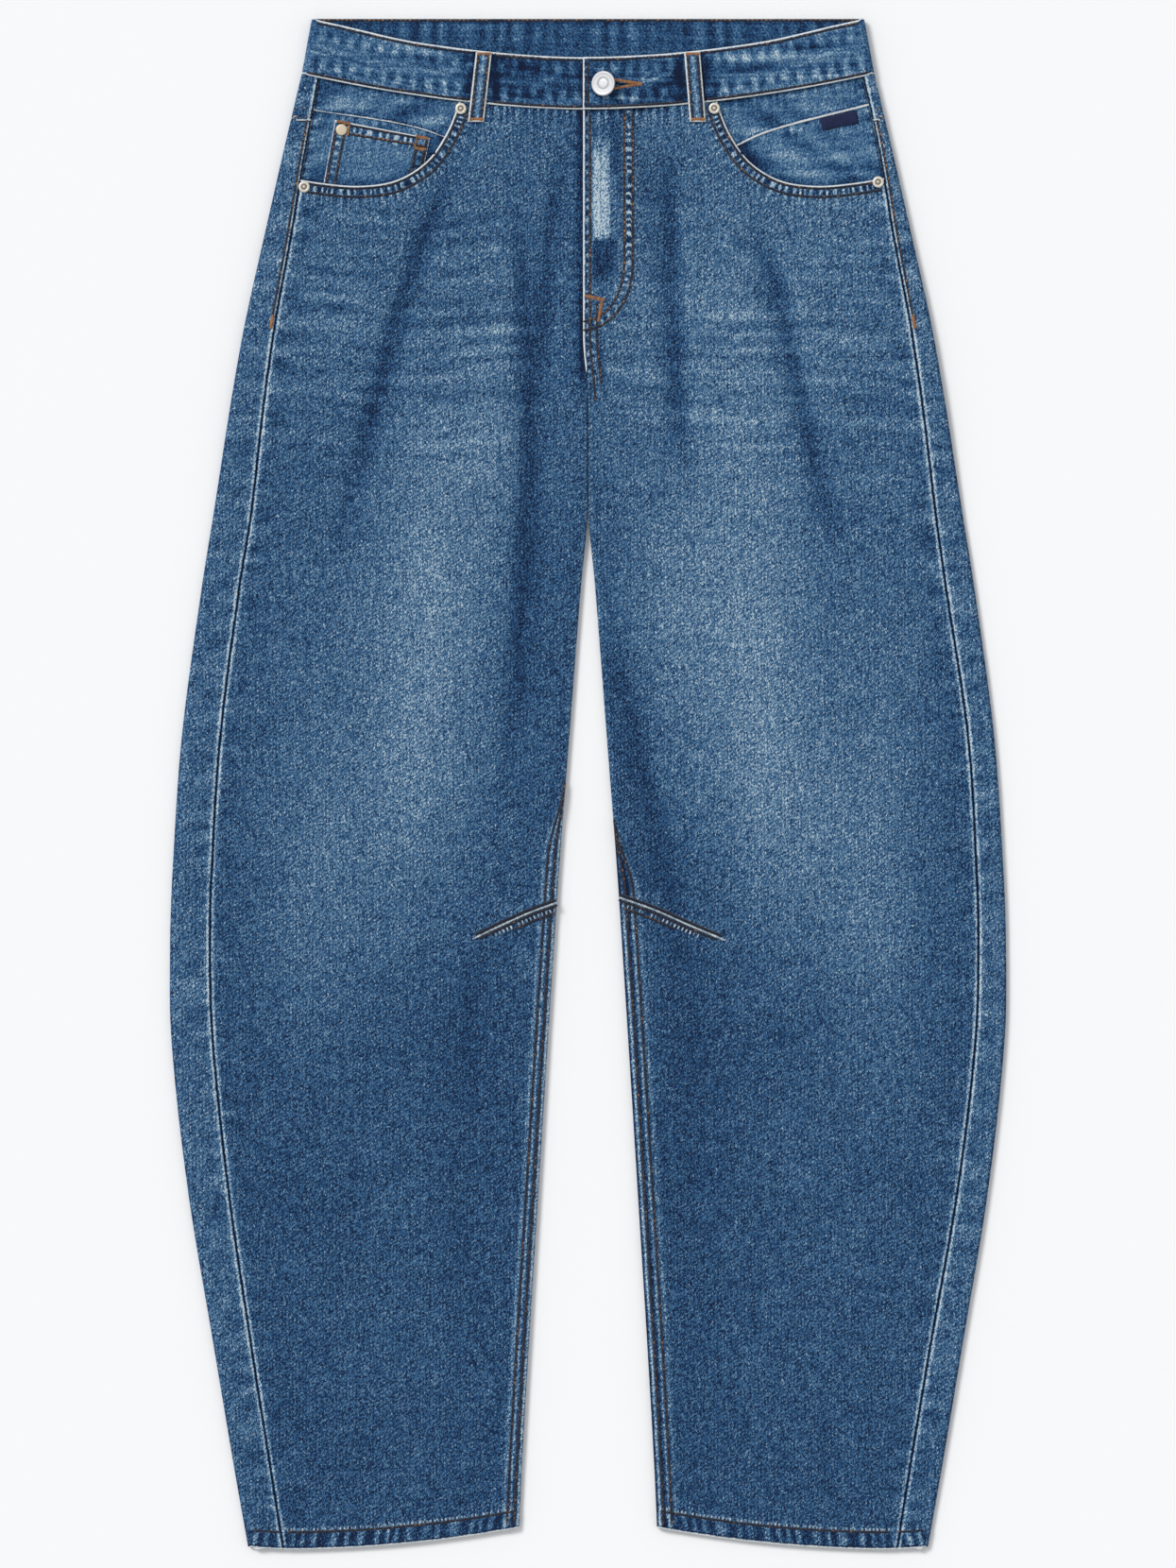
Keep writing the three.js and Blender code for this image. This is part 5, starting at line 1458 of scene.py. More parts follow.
def make_waistband():
    """The whole band as one grid, with the quads of the buttonhole left out."""
    side, x, angle = band_columns()
    back_seam = back_waist(np.minimum(x / WAIST_FOLD, 1))
    tall = np.where(angle == math.pi / 2, band_tall(x), TOP_Y - back_seam)
    bottom = np.where(angle == math.pi / 2, front_waist(x), back_seam)
    near_eye = EYE[1] - EYE_SEAM_Y + np.linspace(-3.6, 3.6, 17)
    rows = np.concatenate([EDGE_STEPS[:10], np.arange(9.0, 13.0, 1.4), near_eye, np.arange(22.3, 27.5, 1.4)])
    rows = np.concatenate([rows, BAND_TALL - EDGE_STEPS[:8][::-1]])
    t = (rows / BAND_TALL)[:, None]
    shape = (len(rows), len(side))
    side, x, angle, tall, bottom = (np.broadcast_to(v, shape) for v in (side, x, angle, tall, bottom))
    front = angle == math.pi / 2
    left, right = band_detail(1, x, t, tall), band_detail(-1, x, t, tall)
    edges = Detail(x + t)
    edges.edge(t * tall, 0.6, 0.6)
    edges.edge((1 - t) * tall, 0.6, 0.6)
    facing_up = smooth(np.sin(angle))
    lift = mix(edges.height, np.where(side > 0, left.height, right.height), facing_up)
    high, low = band_top(side, x), SEAT_LIFT
    radius = (WAIST_HALF - WAIST_FOLD) + lift
    turning = np.abs(angle) < math.pi / 2
    px = np.where(turning, WAIST_FOLD + radius * np.cos(angle), x)
    pz = mix(low, high, (1 + np.sin(angle)) / 2) + lift * np.sin(angle)
    points = np.stack([side * px * (1 - BAND_LEAN * t), bottom + tall * t, pz], axis=-1)
    quads = grid_quads(np.arange(t.size * side.shape[1]).reshape(side.shape))[:, ::-1]
    flat_points = points.reshape(-1, 3)
    centre = flat_points[quads].mean(axis=1)
    in_eye = np.hypot(centre[:, 0] - EYE[0], centre[:, 1] - EYE[1]) < EYE[2]
    in_slit = (centre[:, 0] > EYE[0]) & (centre[:, 0] < SLIT_END) & (np.abs(centre[:, 1] - EYE[1]) < 0.45)
    quads = quads[~((in_eye | in_slit) & (centre[:, 2] > BAND_FACE))]
    run, up = side * x, t * BAND_TALL
    inside_tone = 0.33 + 0.20 * ripple(run, 13.0, 4.0) * bell(t - 0.75, 0.35)
    inside_tone = inside_tone + 0.06 * ripple(up + 0.05 * run, 6.0, 1.0)
    upright_row = 0.16 * bell(run + 85, 0.8) * (ripple(up, 3.0, 1.0) > 0)
    inside_tone += upright_row - 0.16 * bell((1 - t) * tall - 2.9, 0.9)
    back_values = edges.values(0.42 + 0.20 * ripple(run, 11.5, 1.0) * bell(up - 8, 8))
    values = {
        key: np.where(front, np.where(side > 0, value, right.values(0.0)[key]), back_values[key])
        for key, value in left.values(0.0).items()
    }
    used = np.zeros(len(flat_points), bool)
    used[quads] = True
    number = np.cumsum(used) - 1
    kept = {key: np.ravel(v)[used] for key, v in values.items()}
    inside = {key: 0 * value for key, value in kept.items()}
    inside["tone"], inside["whisk"] = np.ravel(inside_tone)[used], inside["whisk"] + 0.12
    long = float(np.linalg.norm(np.diff(points[0], axis=0), axis=1).sum())
    make_cloth("waistband", flat_points[used], number[quads], kept, (long, BAND_TALL),
               denim_band, BAND_THICK, inside)


make_waistband()

# %% [markdown]
# ## Belt loops and back pockets
# A loop is a narrow strip folded to 11 mm and stitched down both edges. The front ones cross the band and
# end below its seam. The back loops and the two patch pockets lie under the garment, against the table.

# %% Loops and pockets
LOOP_HALF, LOOP_LONG, LOOP_THICK = 5.5, 47.0, 1.5
LOOP_ROWS = (-3.4, 3.4)
LOOPS = {-1: (71.5, 77.0), 1: (71.5, 75.5)}
HALF_STEPS = np.array([0.5, 1.5, 2.4, 3.1, 3.8, 4.5, 5.1, LOOP_HALF])
LOOP_STEPS = np.concatenate([-HALF_STEPS[::-1], HALF_STEPS])


def loop_centre(side, t):
    """The middle of a front loop, a share t of the way down: distance from the middle, y and height."""
    top_x, low_x = LOOPS[side]
    x = mix(top_x, low_x, t)
    seam = front_waist(top_x)
    y = seam + BAND_TALL - 0.5 - LOOP_LONG * 1.02 * t
    over_band = band_top(side, x) + SEAM_GAP + LOOP_THICK
    on_panel = front_top(side, x, y) + 0.4 + LOOP_THICK
    z = mix(over_band, on_panel, smooth((seam - 0.6 - y) / 7)) + 0.5 * np.sin(math.pi * np.clip(t, 0, 1))
    return x, y, z


for side in (-1, 1):
    down = np.concatenate([[0, 0.4, 1.0], np.arange(2.0, 46.0, 0.9), [46.0, 46.6, LOOP_LONG]])
    down = down[::-1, None] / LOOP_LONG
    x, y, z = loop_centre(side, down)
    off = LOOP_STEPS[None, :] + 0 * down
    d = Detail(x + off)
    ends, rim = np.minimum(down, 1 - down) * LOOP_LONG, LOOP_HALF - np.abs(off)
    d.height += 0.25 * smooth((rim - 2.4) / 1.2)
    d.tone += 0.28 + 0.44 * bell(off, 2.0) + 0.14 * ripple(down * LOOP_LONG, 9.0, 4.0) * bell(off, 2.2)
    d.bars(0.5 * bell(rim - 2.1, 1.6), down * LOOP_LONG, 4.2, 1.0 + side)
    d.edge(rim + 0 * down, 0.45, 0.5)
    d.edge(ends + 0 * off, 0.45, 0.5)
    make_patch(f"front_loop_{SIDE_NAMES[side]}", side, x + off, y + 0 * off, z + 0 * off, d,
               LOOP_THICK - 0.3)

BACK_LOOPS = {"right": -112.0, "centre": 0.0, "left": 112.0}
for name, middle in BACK_LOOPS.items():
    down = np.linspace(1, 0, 40)[:, None]
    off = LOOP_STEPS[None, :] + 0 * down
    d = Detail(off)
    d.tone += 0.30 + 0.28 * bell(off, 1.9)
    d.rim += 0.9 * np.clip(1 - (LOOP_HALF - np.abs(off)) / RIM_REACH, 0, 1)
    y = TOP_Y - 0.6 - LOOP_LONG * down + 0 * off
    make_patch(f"back_loop_{name}", 1, (middle + off)[:, ::-1], y, 0 * off, d)

POCKET_MIDDLE, POCKET_TOP, POCKET_HALF, POCKET_TALL, POCKET_POINT = 104.0, 398.0, 71.0, 132.0, 22.0
POCKET_TURN = math.radians(4)


def pocket_place(side, across, down):
    """A place on a back pocket, across from -1 to 1 and down from 0 to 1: it narrows to a pointed foot."""
    x = across * POCKET_HALF * (1 - 0.1 * down)
    y = -down * (POCKET_TALL - POCKET_POINT * np.abs(across))
    c, s = math.cos(POCKET_TURN), math.sin(POCKET_TURN)
    return side * (POCKET_MIDDLE + x * c + y * s), POCKET_TOP + x * s + y * c


for side in (-1, 1):
    beside_edge, below_edge = EDGE_STEPS[:10] / POCKET_HALF, EDGE_STEPS / POCKET_TALL
    down = np.concatenate([below_edge, np.linspace(0.1, 0.9, 36), 1 - below_edge[::-1]])[:, None]
    across = np.concatenate([-1 + beside_edge, np.linspace(-0.88, 0.88, 45), 1 - beside_edge[::-1]])
    across = across[None, :] + 0 * down
    x, y = pocket_place(side, across, down)
    rim = np.minimum((1 - np.abs(across)) * POCKET_HALF, (1 - down) * POCKET_TALL)
    d = Detail(x)
    d.tone += 0.43 + 0.08 * bell(across, 0.6)
    d.bars(0.8 * smooth((rim - 2) / 0.6) * smooth((6.6 - rim) / 0.6), y + x, 5.0, 2.0, 0.0)
    d.edge(rim, 0.0)
    d.edge(down * POCKET_TALL + 0 * x, 0.0)
    points, quads = leg_grid(side, side * x, y, 0 * x)
    make_cloth(f"{SIDE_NAMES[side]}_back_pocket", points, quads, d.values(0.0),
               (2 * POCKET_HALF, POCKET_TALL), denim_panel)

# %% [markdown]
# ## Button and rivets
# Both are turned parts, so each is one profile of radius and height, carried round an axis. The button is
# a dished cap on a stem that comes through the buttonhole; it leans on the band. Its ring is left bare.
# A rivet is a pale ring with a brassy nipple in its hollow, and the coin pocket's is a plain disc.


# %% Turned parts
def turned(profile, steps):
    """Points, quads and end caps of a profile of (radius, height) carried round Z."""
    r, z = np.array(profile, float).T
    a = np.linspace(0, 2 * math.pi, steps, endpoint=False)[None, :]
    points = np.stack([r[:, None] * np.cos(a), r[:, None] * np.sin(a), z[:, None] + 0 * a], axis=-1)
    index = np.arange(len(r) * steps).reshape(len(r), steps)
    closed = np.hstack([index, index[:, :1]])
    return points.reshape(-1, 3), grid_quads(closed), [index[0][::-1], index[-1]]


def metal(name, pale, dark, rough):
    """Plated metal: the colour runs from a dark hollow to a pale face, with fine wear."""
    g = Graph(name, Metallic=0.35, Specular_IOR_Level=0.4)
    place = g.node("ShaderNodeTexCoord", output=3)
    wear = g.noise(place, 620.0, 3.0, 0.6)
    stops = ((0.0, dark), (0.45, tuple(0.6 * c for c in pale[:3]) + (1.0,)), (1.0, pale))
    colour = g.node("ShaderNodeValToRGB", {"stops": stops}, [g.own("tone") + wear * 0.12])
    bump = g.node("ShaderNodeBump", {}, {"Strength": 0.25, "Distance": 0.0002, "Height": wear})
    return g.feed(Base_Color=colour, Roughness=wear * 0.08 + rough, Normal=bump)


button_metal = metal("button_metal", rgb(226, 226, 228), rgb(50, 52, 60), 0.5)
rivet_metal = metal("rivet_metal", rgb(232, 226, 212), rgb(96, 66, 38), 0.45)
coin_metal = metal("coin_rivet_metal", rgb(222, 206, 180), rgb(110, 84, 60), 0.5)

BUTTON_PLACE, BUTTON_TILT, BUTTON_CENTRE = (10.6, 480.9), math.radians(20), 14.6
CAP = [
    (2.4, -1.1), (6.9, -1.1), (8.1, -0.8), (8.6, -0.2), (8.65, 0.25), (8.5, 0.7), (8.15, 1.0),
    (7.75, 1.08), (7.3, 1.0), (6.8, 0.9), (5.4, 0.84), (4.7, 0.84), (4.3, 0.78), (4.05, 0.5),
    (3.85, 0.38), (3.6, 0.44), (3.3, 0.74), (2.9, 0.86), (1.8, 0.92), (0.9, 0.94), (0.3, 0.94),
]
# Tone along the cap's profile: dark on its side and underside and a little darker in its ring groove, which
# is painted shade; pale on its face.
CAP_TONE = [
    0.1, 0.1, 0.1, 0.1, 0.14, 0.3, 0.8,
    0.9, 0.75, 0.82, 0.84, 0.84, 0.8, 0.6,
    0.5, 0.55, 0.8, 0.9, 0.9, 0.92, 0.92,
]
RIVET_RING = [
    (3.0, -0.4), (3.7, -0.2), (3.9, 0.1), (3.92, 0.5), (3.7, 1.0), (3.3, 1.35), (2.8, 1.48), (2.3, 1.4),
    (2.0, 1.15), (1.8, 0.85), (1.6, 0.8), (1.3, 1.05), (1.0, 1.45), (0.6, 1.62), (0.2, 1.65),
]
# Along each rivet's profile: darker down its side as painted shade, pale on top, and darkest in the hollow
# round its nipple.
RIVET_TONE = [0.4, 0.6, 0.8, 0.9, 1.0, 1.0, 0.95, 0.8, 0.45, 0.12, 0.08, 0.2, 0.5, 0.62, 0.6]
DISC = [(3.0, -0.4), (3.8, 0.0), (3.9, 0.5), (3.7, 0.85), (3.2, 1.0), (2.0, 1.06), (0.3, 1.1)]
# The disc darkens down its side: painted shade.
DISC_TONE = [0.4, 0.6, 0.75, 0.9, 0.95, 0.95, 0.95]


def place_turned(name, node, profile, tones, steps, centre, material, tilt=0.0):
    points, quads, caps = turned(profile, steps)
    c, s = math.cos(tilt), math.sin(tilt)
    x, y, z = points.T
    points = np.stack([x * c - z * s, y, x * s + z * c], axis=1)
    piece = make_piece(name, points + centre, quads, {"tone": np.repeat(tones, steps)}, material, caps)
    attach(piece, "root")
    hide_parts(node)


cap_place = (*BUTTON_PLACE, BUTTON_CENTRE)
place_turned("button_cap", "button", CAP, CAP_TONE, 72, cap_place, button_metal, BUTTON_TILT)
STEM = [(2.2, -6.4), (2.5, -6.0), (2.4, -3.0), (2.4, 0.0), (2.0, 0.3)]
stem_place = (EYE[0], EYE[1], BUTTON_CENTRE)
place_turned("button_stem", "button", STEM, [0.6] * 5, 32, stem_place, button_metal)
RIVETS = {"right_waist": (-1, 87.4, 464.2), "right_side": (-1, 195.1, 410.4), "left_waist": (1, 86.8, 464.4),
          "left_side": (1, 199.4, 413.7)}
for name, (side, x, y) in RIVETS.items():
    seat = (side * x, y, float(front_top(side, x, y)) + 0.8)
    place_turned(f"rivet_{name}_metal", f"rivet_{name}", RIVET_RING, RIVET_TONE, 40, seat,
                 rivet_metal)
coin_seat = (-169.5, 449.8, float(coin_top(169.5, 449.8)) + 0.35)
place_turned("rivet_coin_metal", "rivet_coin", DISC, DISC_TONE, 36, coin_seat, coin_metal)

# %% [markdown]
# ## Thread
# Every stitch is modelled: a small prism with six sides, thin and sunk at both ends and full in the
# middle, where the thread lies on the cloth. A row places one every 3 mm along a line and reads its height
# from the same function as the cloth, so it rides over each pucker. A bartack and the buttonhole's edge
# are satin: the same prism laid across the line, close together.


# %% Stitches
STATIONS = np.array([-0.5, -0.3, 0.3, 0.5])
FULLNESS = np.array([0.35, 1.0, 1.0, 0.35])
RAISED = np.array([-0.5, 0.45, 0.45, -0.5])
CORNERS = 6
SECTION = np.linspace(0, 2 * math.pi, CORNERS, endpoint=False)
PRISM = len(STATIONS) * CORNERS
threads, crests = [], []
rng = np.random.default_rng(7)


def prism_set(stations, across, up, width, height, shade):
    """Stitches from four places each (n, 4, 3), with the direction across them and away from the cloth."""
    n = len(stations)
    width = np.reshape(np.broadcast_to(width, n), (n, 1, 1, 1))
    c, s = np.cos(SECTION), np.sin(SECTION)
    full = FULLNESS[None, :, None, None]
    ring = stations[:, :, None, :] + across[:, None, None, :] * (c[None, None, :, None] * width / 2 * full)
    ring = ring + up * ((s[None, None, :, None] * height / 2 * full) + RAISED[None, :, None, None] * height)
    first = np.arange(n)[:, None, None, None] * PRISM + np.arange(3)[None, :, None, None] * CORNERS
    this = np.arange(CORNERS)[None, None, :, None]
    after = (this + 1) % CORNERS
    above = first + CORNERS
    sides = np.concatenate([first + this, first + after, above + after, above + this], axis=-1).reshape(-1, 4)
    ends = np.array([(0, 5, 4, 3), (0, 3, 2, 1), (18, 19, 20, 21), (18, 21, 22, 23)])
    caps = (np.arange(n)[:, None, None] * PRISM + ends[None]).reshape(-1, 4)
    return ring.reshape(-1, 3), np.vstack([sides, caps]), np.repeat(shade, PRISM), float(np.sign(up))


def line_of(x, y):
    """A line through places x, y, of which one may be a single number."""
    return np.stack(np.broadcast_arrays(x, y), axis=1)


def flat_line(line, s):
    """Places at distances s along a line of x, y."""
    travelled = lengths(line)
    return np.stack([np.interp(s, travelled, line[:, k]) for k in (0, 1)], axis=-1)


def stitch_places(line, height, side, s, sunk=0.0):
    """Four places on the cloth for each stitch, at distances s along a line, and the direction across it."""
    place = flat_line(line, s)
    z = height(place[..., 0], place[..., 1]) - sunk
    stations = np.stack([side * place[..., 0], place[..., 1], z], axis=-1)
    run = stations[:, -1] - stations[:, 0]
    run /= np.linalg.norm(run, axis=1)[:, None]
    return stations, np.stack([-run[:, 1], run[:, 0], 0 * run[:, 0]], axis=1)


# Painted shade: a dark flat tube along each row stands for the shade in the groove that the row pulls into
# the cloth.
def groove_shade_line(line, height, side, up, wide=1.45, tall=0.16, step=1.2):
    """The dark groove that a row of stitches pulls into the cloth: a flat tube with four sides."""
    s = np.linspace(0, lengths(line)[-1], max(3, round(lengths(line)[-1] / step)))
    place = flat_line(line, s)
    run = np.gradient(place, axis=0)
    run /= np.linalg.norm(run, axis=1)[:, None]
    cross = np.stack([-run[:, 1] * side, run[:, 0]], axis=1)
    taper = np.minimum(1, np.minimum(np.arange(len(s)), np.arange(len(s))[::-1]) + 0.2)
    offsets = ((0.5, 0.0), (0.0, 1.0), (-0.5, 0.0), (0.0, -1.0))
    z = height(place[:, 0], place[:, 1])
    ring = [np.column_stack([side * place[:, 0] + cross[:, 0] * a * wide * taper,
                             place[:, 1] + cross[:, 1] * a * wide * taper,
                             z + up * b * tall * taper]) for a, b in offsets]
    ring = np.stack(ring, axis=1)
    index = np.arange(len(s) * 4).reshape(len(s), 4)
    quads = outward(grid_quads(np.hstack([index, index[:, :1]])), side * up)
    ends = np.array([index[0], index[-1][::-1]]) if side * up > 0 else np.array([index[0][::-1], index[-1]])
    threads.append((ring.reshape(-1, 3), np.vstack([quads, ends]), np.zeros(len(s) * 4), 1.0))


def sew(line, height, side=1, shade=0.3, pitch=3.1, up=1.0, width=0.84, tall=0.5):
    """A row of stitches on a line of x, y, at the height that a function of x and y gives."""
    line = np.asarray(line, float)
    total = lengths(line)[-1]
    groove_shade_line(line, height, side, up, 1.6)
    middle = np.arange(pitch / 2, total - pitch / 3, pitch)
    middle = middle + rng.uniform(-0.12, 0.12, len(middle))
    s = middle[:, None] + STATIONS[None, :] * pitch * 0.7
    stations, across = stitch_places(line, height, side, s)
    shades = np.clip(shade + rng.normal(0, 0.2, len(s)), 0, 1)
    threads.append(prism_set(stations, across * up, up, width, tall, shades))


def crest(line, height, side=1, wide=0.9, gaps=0.25):
    """The rubbed crest of a folded edge inside a piece: short pale lengths of a soft ridge, with gaps."""
    line = np.asarray(line, float)
    middle = np.arange(0.8, lengths(line)[-1], 1.5)
    middle = middle[rng.uniform(size=len(middle)) > gaps]
    stations, across = stitch_places(line, height, side, middle[:, None] + STATIONS[None, :] * 2.0, 0.05)
    widths = wide * rng.uniform(0.6, 1.1, len(middle))
    crests.append(prism_set(stations, across, 1.0, widths, 0.3, rng.uniform(0.3, 1, len(middle))))


def crosswise(line, height, wide, side, pitch, up=1.0):
    """Four places on each of many short bars across a line, and the direction beside the bars."""
    line = np.asarray(line, float)
    middle = np.arange(pitch / 2, lengths(line)[-1], pitch)
    place, ahead = flat_line(line, middle), flat_line(line, middle + 0.2)
    run = ahead - flat_line(line, middle - 0.2)
    run /= np.maximum(np.linalg.norm(run, axis=1), 1e-6)[:, None]
    cross = np.stack([-run[:, 1], run[:, 0]], axis=1)
    spots = place[:, None, :] + cross[:, None, :] * (STATIONS * wide)[None, :, None]
    z = height(spots[..., 0], spots[..., 1])
    stations = np.stack([side * spots[..., 0], spots[..., 1], z], axis=-1)
    along_line = np.stack([side * run[:, 0], run[:, 1], 0 * run[:, 0]], axis=1)
    return stations, along_line * -side * up


def satin(line, height, wide, side=1, shade=0.8, pitch=0.55, up=1.0):
    """Close stitches laid across a line, each as long as wide."""
    stations, beside_bar = crosswise(line, height, wide, side, pitch, up)
    shades = np.clip(shade + rng.normal(0, 0.1, len(stations)), 0, 1)
    threads.append(prism_set(stations, beside_bar, up, 0.62, 0.6, shades))


def rungs(line, height, wide, side=1, pitch=3.3, thick=0.9):
    """Pale bars across a line, where the cloth stands up between two rows of stitches."""
    stations, beside_bar = crosswise(line, height, wide, side, pitch)
    kept = rng.uniform(size=len(stations)) > 0.25
    stations, beside_bar = stations[kept], beside_bar[kept]
    widths = thick * rng.uniform(0.6, 1.2, len(stations))
    crests.append(prism_set(stations, beside_bar, 1.0, widths, 0.3, rng.uniform(0.1, 0.9, len(stations))))


def thread_material():
    """Cotton thread, from rinsed brown to fresh orange."""
    g = Graph("sewing_thread", Roughness=0.7, Specular_IOR_Level=0.3, Sheen_Weight=0.2)
    place = g.node("ShaderNodeTexCoord", output=3)
    # The darkest stop is mostly painted shade: the groove lines along the rows take it.
    rinsed = ((0.0, rgb(10, 20, 42)), (0.3, rgb(38, 42, 60)))
    fresh = ((0.6, rgb(116, 88, 70)), (1.0, rgb(182, 124, 74)))
    ply = g.noise(place, 1500.0, 2.0, 0.6)
    colour = g.node("ShaderNodeValToRGB", {"stops": rinsed + fresh}, [g.own("shade") + ply * 0.12])
    return g.feed(Base_Color=colour)


def rubbed_material():
    """The pale fluff of a rubbed crest."""
    g = Graph("rubbed_crest", Roughness=0.95, Specular_IOR_Level=0.1)
    place = g.node("ShaderNodeTexCoord", output=3)
    fluff = g.noise(place, 900.0, 2.0, 0.6)
    stops = ((0.0, rgb(96, 124, 150)), (1.0, rgb(204, 214, 218)))
    colour = g.node("ShaderNodeValToRGB", {"stops": stops}, [g.own("shade") + fluff * 0.3])
    return g.feed(Base_Color=colour)


def tie_off(name, sets, material):
    """Turns all the stitches of a list into one mesh."""
    start = np.cumsum([0] + [len(points) for points, *_ in sets])[:-1]
    points = np.vstack([points for points, *_ in sets])
    quads = np.vstack([outward(q, sign) + k for k, (_, q, _, sign) in zip(start, sets)])
    shades = np.concatenate([shade for _, _, shade, _ in sets])
    piece = make_piece(name, points, quads, {"shade": shades}, material)
    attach(piece, "root")
    sets.clear()


thread = thread_material()

# %% [markdown]
# ### Rows on the fronts
# The order is the sewing order: scoops, fly, inseams, side seams, hems.


# %% Rows on the fronts
HEM_ROW, SIDE_ROW_END = 12.0, 322.0


def on_front(side):
    return lambda x, y: front_height(side, x, y) + 0.1


def on_strip(side):
    return lambda x, y: loft(side, x, y) + back_detail(side, x, y).height + 0.1


def over_dart(side):
    """The cloth's height beside a knee dart, and a little more: the mesh stands proud of it there."""
    return lambda x, y: front_height(side, x, y) + 0.6


for side in (-1, 1):
    scoop_x, scoop_y = SCOOP.T
    inside = SCOOP[(front_waist(scoop_x) - scoop_y > 1.0) & (scoop_x < side_seam(side, scoop_y) - 1.0)]
    sew(shifted(inside, -1.9), on_front(side), side, 0.2)
    sew(shifted(inside, -7.7), on_front(side), side, 0.34)
    for off in INSEAM[side]["rows"]:
        start = INSEAM[side]["start"]
        ys = np.linspace(HEM_Y + 17, start, 70)
        edge = front_inner(side, ys) + (off - 0.6) * smooth((start - ys) / 52)
        sew(line_of(edge + 0.6, ys), on_front(side), side, 0.24)
    xs = np.linspace(50, 207, 60)
    hem_row = line_of(xs, HEM_Y + HEM_ROW + hem_lift(share_across(xs, HEM_Y + HEM_ROW / 2)))
    sew(hem_row, on_front(side), side, 0.22)
    rungs(shifted(hem_row, 1.7), on_front(side), 2.0, side, 2.6, 1.1)
    xs = np.linspace(212, 231, 10)
    hem_row = line_of(xs, HEM_Y + HEM_ROW + hem_lift(share_across(xs, HEM_Y + HEM_ROW / 2)))
    sew(hem_row, on_strip(side), side, 0.30)
    ys = np.linspace(463, SIDE_ROW_END, 60)
    sew(line_of(side_seam(side, ys) + 2.6, ys), on_strip(side), side, 0.4)
    ys = np.array([SIDE_ROW_END, SIDE_ROW_END - 9.0])
    satin(line_of(side_seam(side, ys) + 2.6, ys), on_strip(side), 2.2, side)
    groove_shade_line(shifted(DART[side], 3.0)[:47], over_dart(side), side, 1.0, 1.9)
    crest(shifted(DART[side], 0.9), over_dart(side), side, 1.5, 0.0)
    sew(shifted(DART[side], -0.9)[:46], over_dart(side), side, 0.1)
    sew(shifted(DART[side], -5.2)[3:28], over_dart(side), side, 0.34)
    rungs(shifted(DART[side], -3.2)[4:38], over_dart(side), 2.8, side, 2.9, 1.1)
    for inset in (2.0, 7.5):
        xs = np.linspace(float(side_seam(side, 452.0)) + 1.2, float(outer_edge(452.0)) - 3.2, 8)
        sew(line_of(xs, yoke_seam(0.95) + inset), on_strip(side), side, 0.5)

left_front = on_front(1)
sew(j_line(0.9), left_front, 1, 0.44)
sew(j_line(6.8), left_front, 1, 0.44)
ys = np.linspace(461, 262, 90)
sew(line_of(front_inner(1, ys) + 4.7, ys), left_front, 1, 0.34)
ys = np.linspace(332, 275, 30)
sew(line_of(front_inner(1, ys) + 9.6, ys), left_front, 1, 0.35)
satin([(-2.4, 335.4), (11.2, 332.6)], left_front, 2.4)
satin([(9.6, 331.5), (6.8, 317.5)], left_front, 2.2)
tie_off("front_stitching", threads, thread)

# %% [markdown]
# ### Rows on the band, the loops and the pockets

# %% Rows on the band
def sew_band(side, from_low, start, end, shade):
    """A row along the band's front, at a distance from its lower edge (negative: from its upper edge)."""
    places = np.linspace(start, end, 260)
    t = (from_low if from_low > 0 else band_tall(places) + from_low) / band_tall(places)
    px, py, pz = band_front(side, places, t)
    line = line_of(side * px, py)
    order = np.argsort(line[:, 0])
    sew(line, lambda x, y: np.interp(x, line[order, 0], pz[order]) + 0.1, side, shade)


for side, start in ((-1, 4.5), (1, 0.2)):
    for from_low, shade in ((ROW_LOW, 0.22), (-ROW_HIGH, 0.28)):
        sew_band(side, from_low, start, 66.0, shade)
        sew_band(side, from_low, 81.5, WAIST_FOLD, shade)


def on_band(x, y):
    tall = band_tall(x)
    return band_top(1, x) + band_detail(1, x, (y - front_waist(x)) / tall, tall).height + 0.1


sew([(0.0, 466.0), (0.0, 497.0)], on_band, 1, 0.3)
satin([(17.2, 483.9), (26, 482.5), (35.5, 481.2)], on_band, 1.7, 1, 0.85, 0.5)
satin([(17.2, 477.6), (26, 479.2), (35.5, 480.6)], on_band, 1.7, 1, 0.8, 0.5)
satin([(34.8, 480.9), (36.8, 480.9)], on_band, 2.2, 1, 0.85, 0.5)
for side in (-1, 1):
    for off in LOOP_ROWS:
        x, y, z = loop_centre(side, np.linspace(0.05, 0.95, 60))
        sew(line_of(x + off, y), lambda px, py, z=z, y=y: np.interp(py, y[::-1], z[::-1]) + 0.25, side,
            0.34, 2.7)
    for t in (0.03, 0.965):
        x, y, z = (float(v) for v in loop_centre(side, t))
        satin([(x - 4.6, y), (x + 4.6, y)], lambda px, py, z=z: 0 * px + z + 0.12, 1.9, side, 0.85)
back_inside = SEAT_LIFT + BAND_THICK + 0.08
xs = np.linspace(-186, 186, 200)
sew(line_of(xs, TOP_Y - 1.4), lambda x, y: 0 * x + back_inside, 1, 0.62)

